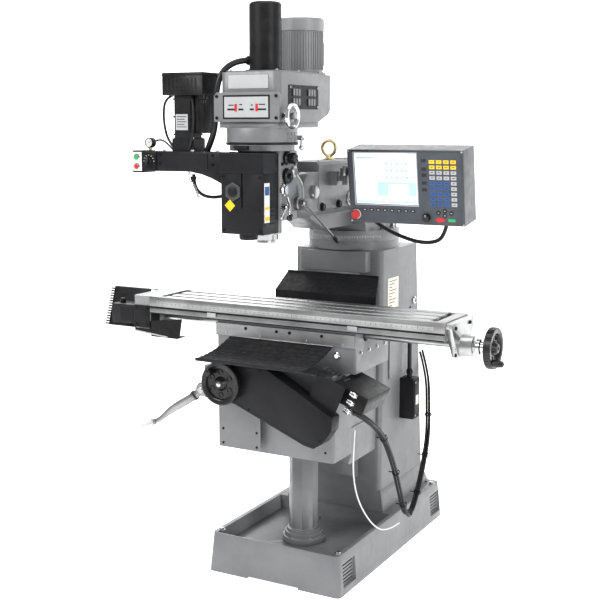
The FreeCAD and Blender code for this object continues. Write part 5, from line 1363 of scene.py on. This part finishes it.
def make_screen():
    left, bottom, right, top = WINDOW
    screen = block("console_display", (left + 0.001, 0.0025, bottom + 0.001),
                   (right - 0.001, 0.0065, top - 0.001), "display", "console", 0.0005, CONSOLE)
    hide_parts("console_screen")
    rim = 0.004
    bezel = [(left - rim, bottom - rim, right + rim, bottom), (left - rim, top, right + rim, top + rim),
             (left - rim, bottom, left, top), (right, bottom, right + rim, top)]
    console_blocks("display_bezel", bezel, "case")
    shown = 0.0025
    wide = right - left
    console_blocks("display_header", [(left + 0.008, top - 0.020, left + wide * 0.34, top - 0.015)],
                   "display_dark", 0.0003, shown, 0)
    rows = []
    for k, z in enumerate((0.080, 0.055, 0.030)):
        for j in range(5):
            start = left + wide * 0.50 + 0.018 * j + (0.004 if j > 1 else 0)
            rows.append((start, z, start + 0.011, z + 0.009 - 0.002 * ((j + k) % 2)))
        rows.append((right - 0.013, z, right - 0.007, z + 0.009))
    console_blocks("display_numbers", rows, "display_dark", 0.0003, shown, 0)
    console_blocks("display_pane", [(left + wide * 0.36, bottom + 0.030, right - 0.004, bottom + 0.082)],
                   "display_pale", 0.0002, shown, 0)
    console_blocks("display_card",
                   [(left + wide * 0.54, bottom + 0.034, right - wide * 0.14, bottom + 0.074)], "display",
                   0.0002, shown - 0.0002, 0)
    lines = [(left + wide * (0.58 + 0.02 * (k % 2)), bottom + 0.040 + 0.008 * k, left + wide * 0.80,
              bottom + 0.042 + 0.008 * k) for k in range(4)]
    console_blocks("display_lines", lines, "display_pale", 0.0002, shown - 0.0004, 0)
    tabs = [(left + 0.004 + 0.0295 * k, bottom + 0.004, left + 0.031 + 0.0295 * k, bottom + 0.012)
            for k in range(8)]
    console_blocks("display_tabs", tabs, "display_pale", 0.0003, shown, 0)


def make_fascia():
    """The face sheet round the window and the stop button, in strips."""
    left, bottom, right, top = (WINDOW[0] - 0.004, WINDOW[1] - 0.004, WINDOW[2] + 0.004, WINDOW[3] + 0.004)
    edge_x, edge_z = 0.2135, 0.1265
    hole_left, hole_right = STOP_X - STOP_HOLE, STOP_X + STOP_HOLE
    strips = [(hole_right, -edge_z, edge_x, bottom), (-edge_x, -edge_z, hole_left, bottom),
              (hole_left, -edge_z, hole_right, STOP_Z - STOP_HOLE),
              (hole_left, STOP_Z + STOP_HOLE, hole_right, bottom), (-edge_x, top, right, edge_z),
              (-edge_x, bottom, left, top), (right, bottom, edge_x, edge_z)]
    console_blocks("fascia", strips, "fascia", 0.0008, 0.0, 0)
    console_blocks("blank_nameplate", [(-0.204, 0.1262, -0.136, 0.1325)], "dark_key", 0.0012)


def make_keys():
    pitch = (0.0265, 0.0190)
    size = (0.0205, 0.0128)
    left = 0.095
    console_blocks("yellow_keys", key_boxes(left, 0.0685, 4, 2, pitch, size), "yellow")
    console_blocks("upper_keys", key_boxes(left, 0.0305, 4, 2, pitch, size), "case")
    console_blocks("blue_keys", key_boxes(left, -0.0640, 3, 5, pitch, size), "blue")
    console_blocks("right_keys", key_boxes(left + 3 * pitch[0], -0.0640, 1, 5, pitch, size), "case")
    middles = [(left + pitch[0] * i + size[0] / 2, pitch[1] * j + size[1] / 2 - 0.0640) for i in range(4)
               for j in range(9)]
    marks = [((x - 0.004, -0.0019, z - 0.0012), (x + 0.004, -0.0015, z + 0.0012)) for x, z in middles]
    blocks("key_marks", marks, "dark_key", "console", 0.0, CONSOLE)
    console_blocks("left_keys", [(0.066, z, 0.084, z + 0.012) for z in (0.092, 0.062, 0.040, 0.012, -0.012)],
                   "dark_key")
    soft = key_boxes(-0.172, -0.0905, 8, 1, (0.0270, 0), (0.0190, 0.0110))
    console_blocks("soft_keys", soft, "dark_key")
    marks = [(x0 + 0.006, z0 + 0.004, x1 - 0.006, z1 - 0.005) for x0, z0, x1, z1 in soft]
    console_blocks("soft_key_marks", marks, "white", 0.0019)
    for k, (x, z) in enumerate(((0.124, -0.088), (0.148, -0.080), (0.172, -0.088), (0.148, -0.097))):
        console_lathe(f"jog_key_{k}", solid((0.0085, 0), (0.0085, 0.0016), (0.0075, 0.0024)), x, z,
                      "dark_key", "console")
        console_blocks(f"jog_key_mark_{k}", [(x - 0.0025, z - 0.0008, x + 0.0025, z + 0.0008)], "white",
                       0.0027)
    oval = [(0.016 * math.cos(t) * (1 + 0.12 * math.cos(2 * t)), 0.0085 * math.sin(t))
            for t in (2 * math.pi * k / 40 for k in range(40))]
    plate("halt_key", oval, 0.003, (0.130, 0, -0.1135), "-y", "red", "console", 0.0006, CONSOLE)
    console_blocks("start_key", [(0.160, -0.1195, 0.186, -0.1085)], "green", 0.0018)


def console_lathe(name, profile, x, z, material, body):
    return lathe(name, profile, (x, 0, z), "-y", material, body, place=CONSOLE)


def make_console_controls():
    stop = console_lathe("stop_cap",
                         solid((0.009, 0), (0.009, 0.006), (0.0165, 0.0065), (0.0165, 0.012),
                               (0.014, 0.0158)), STOP_X, STOP_Z, "red", "console_stop_button")
    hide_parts("console_stop_button")
    surround = [(STOP_HOLE, 0), (0.0185, 0), (0.0185, 0.0012), (STOP_HOLE, 0.0012)]
    console_lathe("stop_surround", surround, STOP_X, STOP_Z, "white", "console")
    work = bmesh.new()
    add_lathe(work, solid((0.015, 0.0006), (0.015, 0.010), (0.0125, 0.0172)), steps=48)
    for place in spread(20, Matrix.Identity(4)):
        add_block(work, (0.0142, -0.0007, 0.001), (0.0152, 0.0007, 0.0095), place)
    knob = from_bmesh("jog_cap", work, "gloss_black", "jog_knob", 0.0, JOG)
    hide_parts("jog_knob")
    block("jog_mark", (-0.0006, 0.004, 0.0172), (0.0006, 0.0122, 0.0176), "white", "jog_knob", 0.0, JOG)
    corners = [(x, 0, z) for x in (-0.2165, 0.2165) for z in (-0.129, 0.129)]
    screws("console_screws", corners, "-y", "console", "steel", 0.0035, 0.0018, place=CONSOLE)
    # Gloss black slots under the console: painted shade standing for the vent openings.
    vents = [((x, 0.030, -0.1343), (x + 0.006, 0.085, -0.1325))
             for x in (0.014 * k - 0.16 for k in range(9))]
    blocks("console_vent_painted_shade", vents, "gloss_black", "console", 0.0, CONSOLE)


make_screen()
make_fascia()
make_keys()
make_console_controls()

# ------------------------------------------------------------------ cables


def blended_cord(name, points, radius, material):
    """A cord along a smooth line through some points."""
    path = curve_path(points)
    made = swept(name, path, radius, material)
    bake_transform(made)
    return made


LOOM = [(0.322, -0.500, 0.716), (0.360, -0.470, 0.690), (0.366, -0.330, 0.600), (0.366, -0.225, 0.470),
        (0.366, -0.150, 0.320), (0.367, -0.100, 0.215), (0.369, -0.050, 0.196), (0.366, 0.020, 0.250),
        (0.336, 0.160, 0.330), (0.300, 0.300, 0.420), (0.262, 0.390, 0.520), (0.238, 0.440, 0.650),
        (0.190, 0.480, 0.740)]


def make_loom():
    """Three cables tied together, from the Y motor down to the base and up the column."""
    tie = [(0.0130, -0.003), (0.0150, -0.003), (0.0150, 0.003), (0.0130, 0.003)]
    for k, (dx, dy, dz) in enumerate(((0.0, 0.007, 0.004), (0.0068, -0.005, -0.003),
                                      (-0.0068, -0.004, -0.002))):
        points = [(x + dx, y + dy, z + dz) for x, y, z in LOOM]
        blended_cord(f"servo_cable_{k}", points, 0.0050, "cable")
    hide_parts("knee_cables")
    path = curve_path(LOOM)
    for k, share in enumerate((0.16, 0.27, 0.38, 0.48, 0.60, 0.72, 0.84)):
        spot = int(share * (len(path) - 1))
        ahead = (path[spot + 1] - path[spot - 1]).normalized().to_track_quat("Z", "Y").to_matrix().to_4x4()
        work = bmesh.new()
        place = Matrix.Translation(path[spot]) @ ahead
        add_lathe(work, tie, place, 20)
        add_block(work, (0.0135, -0.002, -0.001), (0.030, 0.002, 0.001), place)
        band = show(f"cable_tie_{k}", to_mesh(f"cable_tie_{k}", work, MATERIALS["black"]))
        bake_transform(band)


make_loom()
PALE = [(0.266, -0.350, 0.599), (0.250, -0.334, 0.470), (0.247, -0.310, 0.360), (0.256, -0.270, 0.270),
        (0.284, -0.215, 0.182), (0.318, -0.165, 0.150), (0.344, -0.100, 0.170)]
blended_cord("pale_lead", PALE, 0.0028, "pale_cable")

CONSOLE_LINE = curve_path([(0.570, -0.236, 1.372), (0.556, -0.226, 1.322), (0.500, -0.206, 1.298),
                           (0.410, -0.180, 1.300), (0.260, -0.120, 1.340), (0.150, -0.060, 1.400),
                           (0.099, -0.020, 1.440)])


def make_console_cable():
    """Two lengths that meet under the arm, since each crosses one joint."""
    middle = len(CONSOLE_LINE) // 2
    near, far = CONSOLE_LINE[:middle + 1], CONSOLE_LINE[middle:][::-1]
    radius = 0.0075
    lower = swept("console_lead", near, radius, "cable")
    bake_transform(lower)
    upper = swept("ram_lead", far, radius, "cable")
    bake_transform(upper)
    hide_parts("console_cable")
    gland = solid((0.014, 0), (0.014, 0.008), (0.010, 0.014))
    lathe("ram_gland", gland, (0.092, -0.020, 1.440), "+x", "black", "ram")
    lathe("console_gland", gland, (0.570, -0.236, 1.386), "-z", "black", "console", steps=32)


make_console_cable()

# ------------------------------------------------------------------ stage and light


def make_floor():
    tree = Nodes("studio_floor")
    pale = tree.grey(tree.noise(0.6, 2), 0.93, 0.96)
    tree.colour(pale)
    tree.link(pale, tree.shader.inputs["Emission Color"])
    tree.set(Roughness=0.9, Specular_IOR_Level=0.1, Emission_Strength=1.0)
    work = bmesh.new()
    profile = [(-7.0, 0.0)] + [(3.0 + 2.0 * math.sin(math.radians(a)), 2.0 - 2.0 * math.cos(math.radians(a)))
                               for a in range(0, 91, 6)] + [(5.0, 8.0)]
    rows = [[work.verts.new((x, y, z - 0.0005)) for y, z in profile] for x in (-9.0, 9.0)]
    for k in range(len(profile) - 1):
        work.faces.new((rows[0][k], rows[1][k], rows[1][k + 1], rows[0][k + 1]))
    mesh = to_mesh("studio_floor", work, tree.material)
    for polygon in mesh.polygons:
        polygon.use_smooth = True
    return show("studio_floor", mesh)


def make_light(name, location, target, size, power):
    data = bpy.data.lights.new(name, "AREA")
    data.shape = "RECTANGLE"
    data.size, data.size_y = size
    data.energy = power
    light = show(name, data)
    light.location = location
    light.rotation_euler = (Vector(target) - Vector(location)).to_track_quat("-Z", "Y").to_euler()
    return light


def make_stage():
    world = bpy.data.worlds.new("studio")
    world.use_nodes = True
    background = world.node_tree.nodes["Background"]
    background.inputs["Color"].default_value = (0.97, 0.98, 1.0, 1)
    background.inputs["Strength"].default_value = 0.62
    bpy.context.scene.world = world
    bpy.context.scene.view_settings.view_transform = "Standard"
    lights = [
        make_light("key", (-1.8, -3.8, 3.6), (0, -0.2, 1.0), (2.0, 1.6), 150),
        make_light("fill", (4.2, -1.8, 2.0), (0.2, -0.1, 0.6), (2.2, 2.2), 85),
        make_light("top", (0.4, -0.6, 4.6), (0, -0.2, 1.0), (2.4, 2.4), 55),
        make_light("rear", (-2.6, 2.4, 3.2), (0, 0, 1.2), (1.6, 1.6), 45),
    ]
    make_floor()


make_stage()
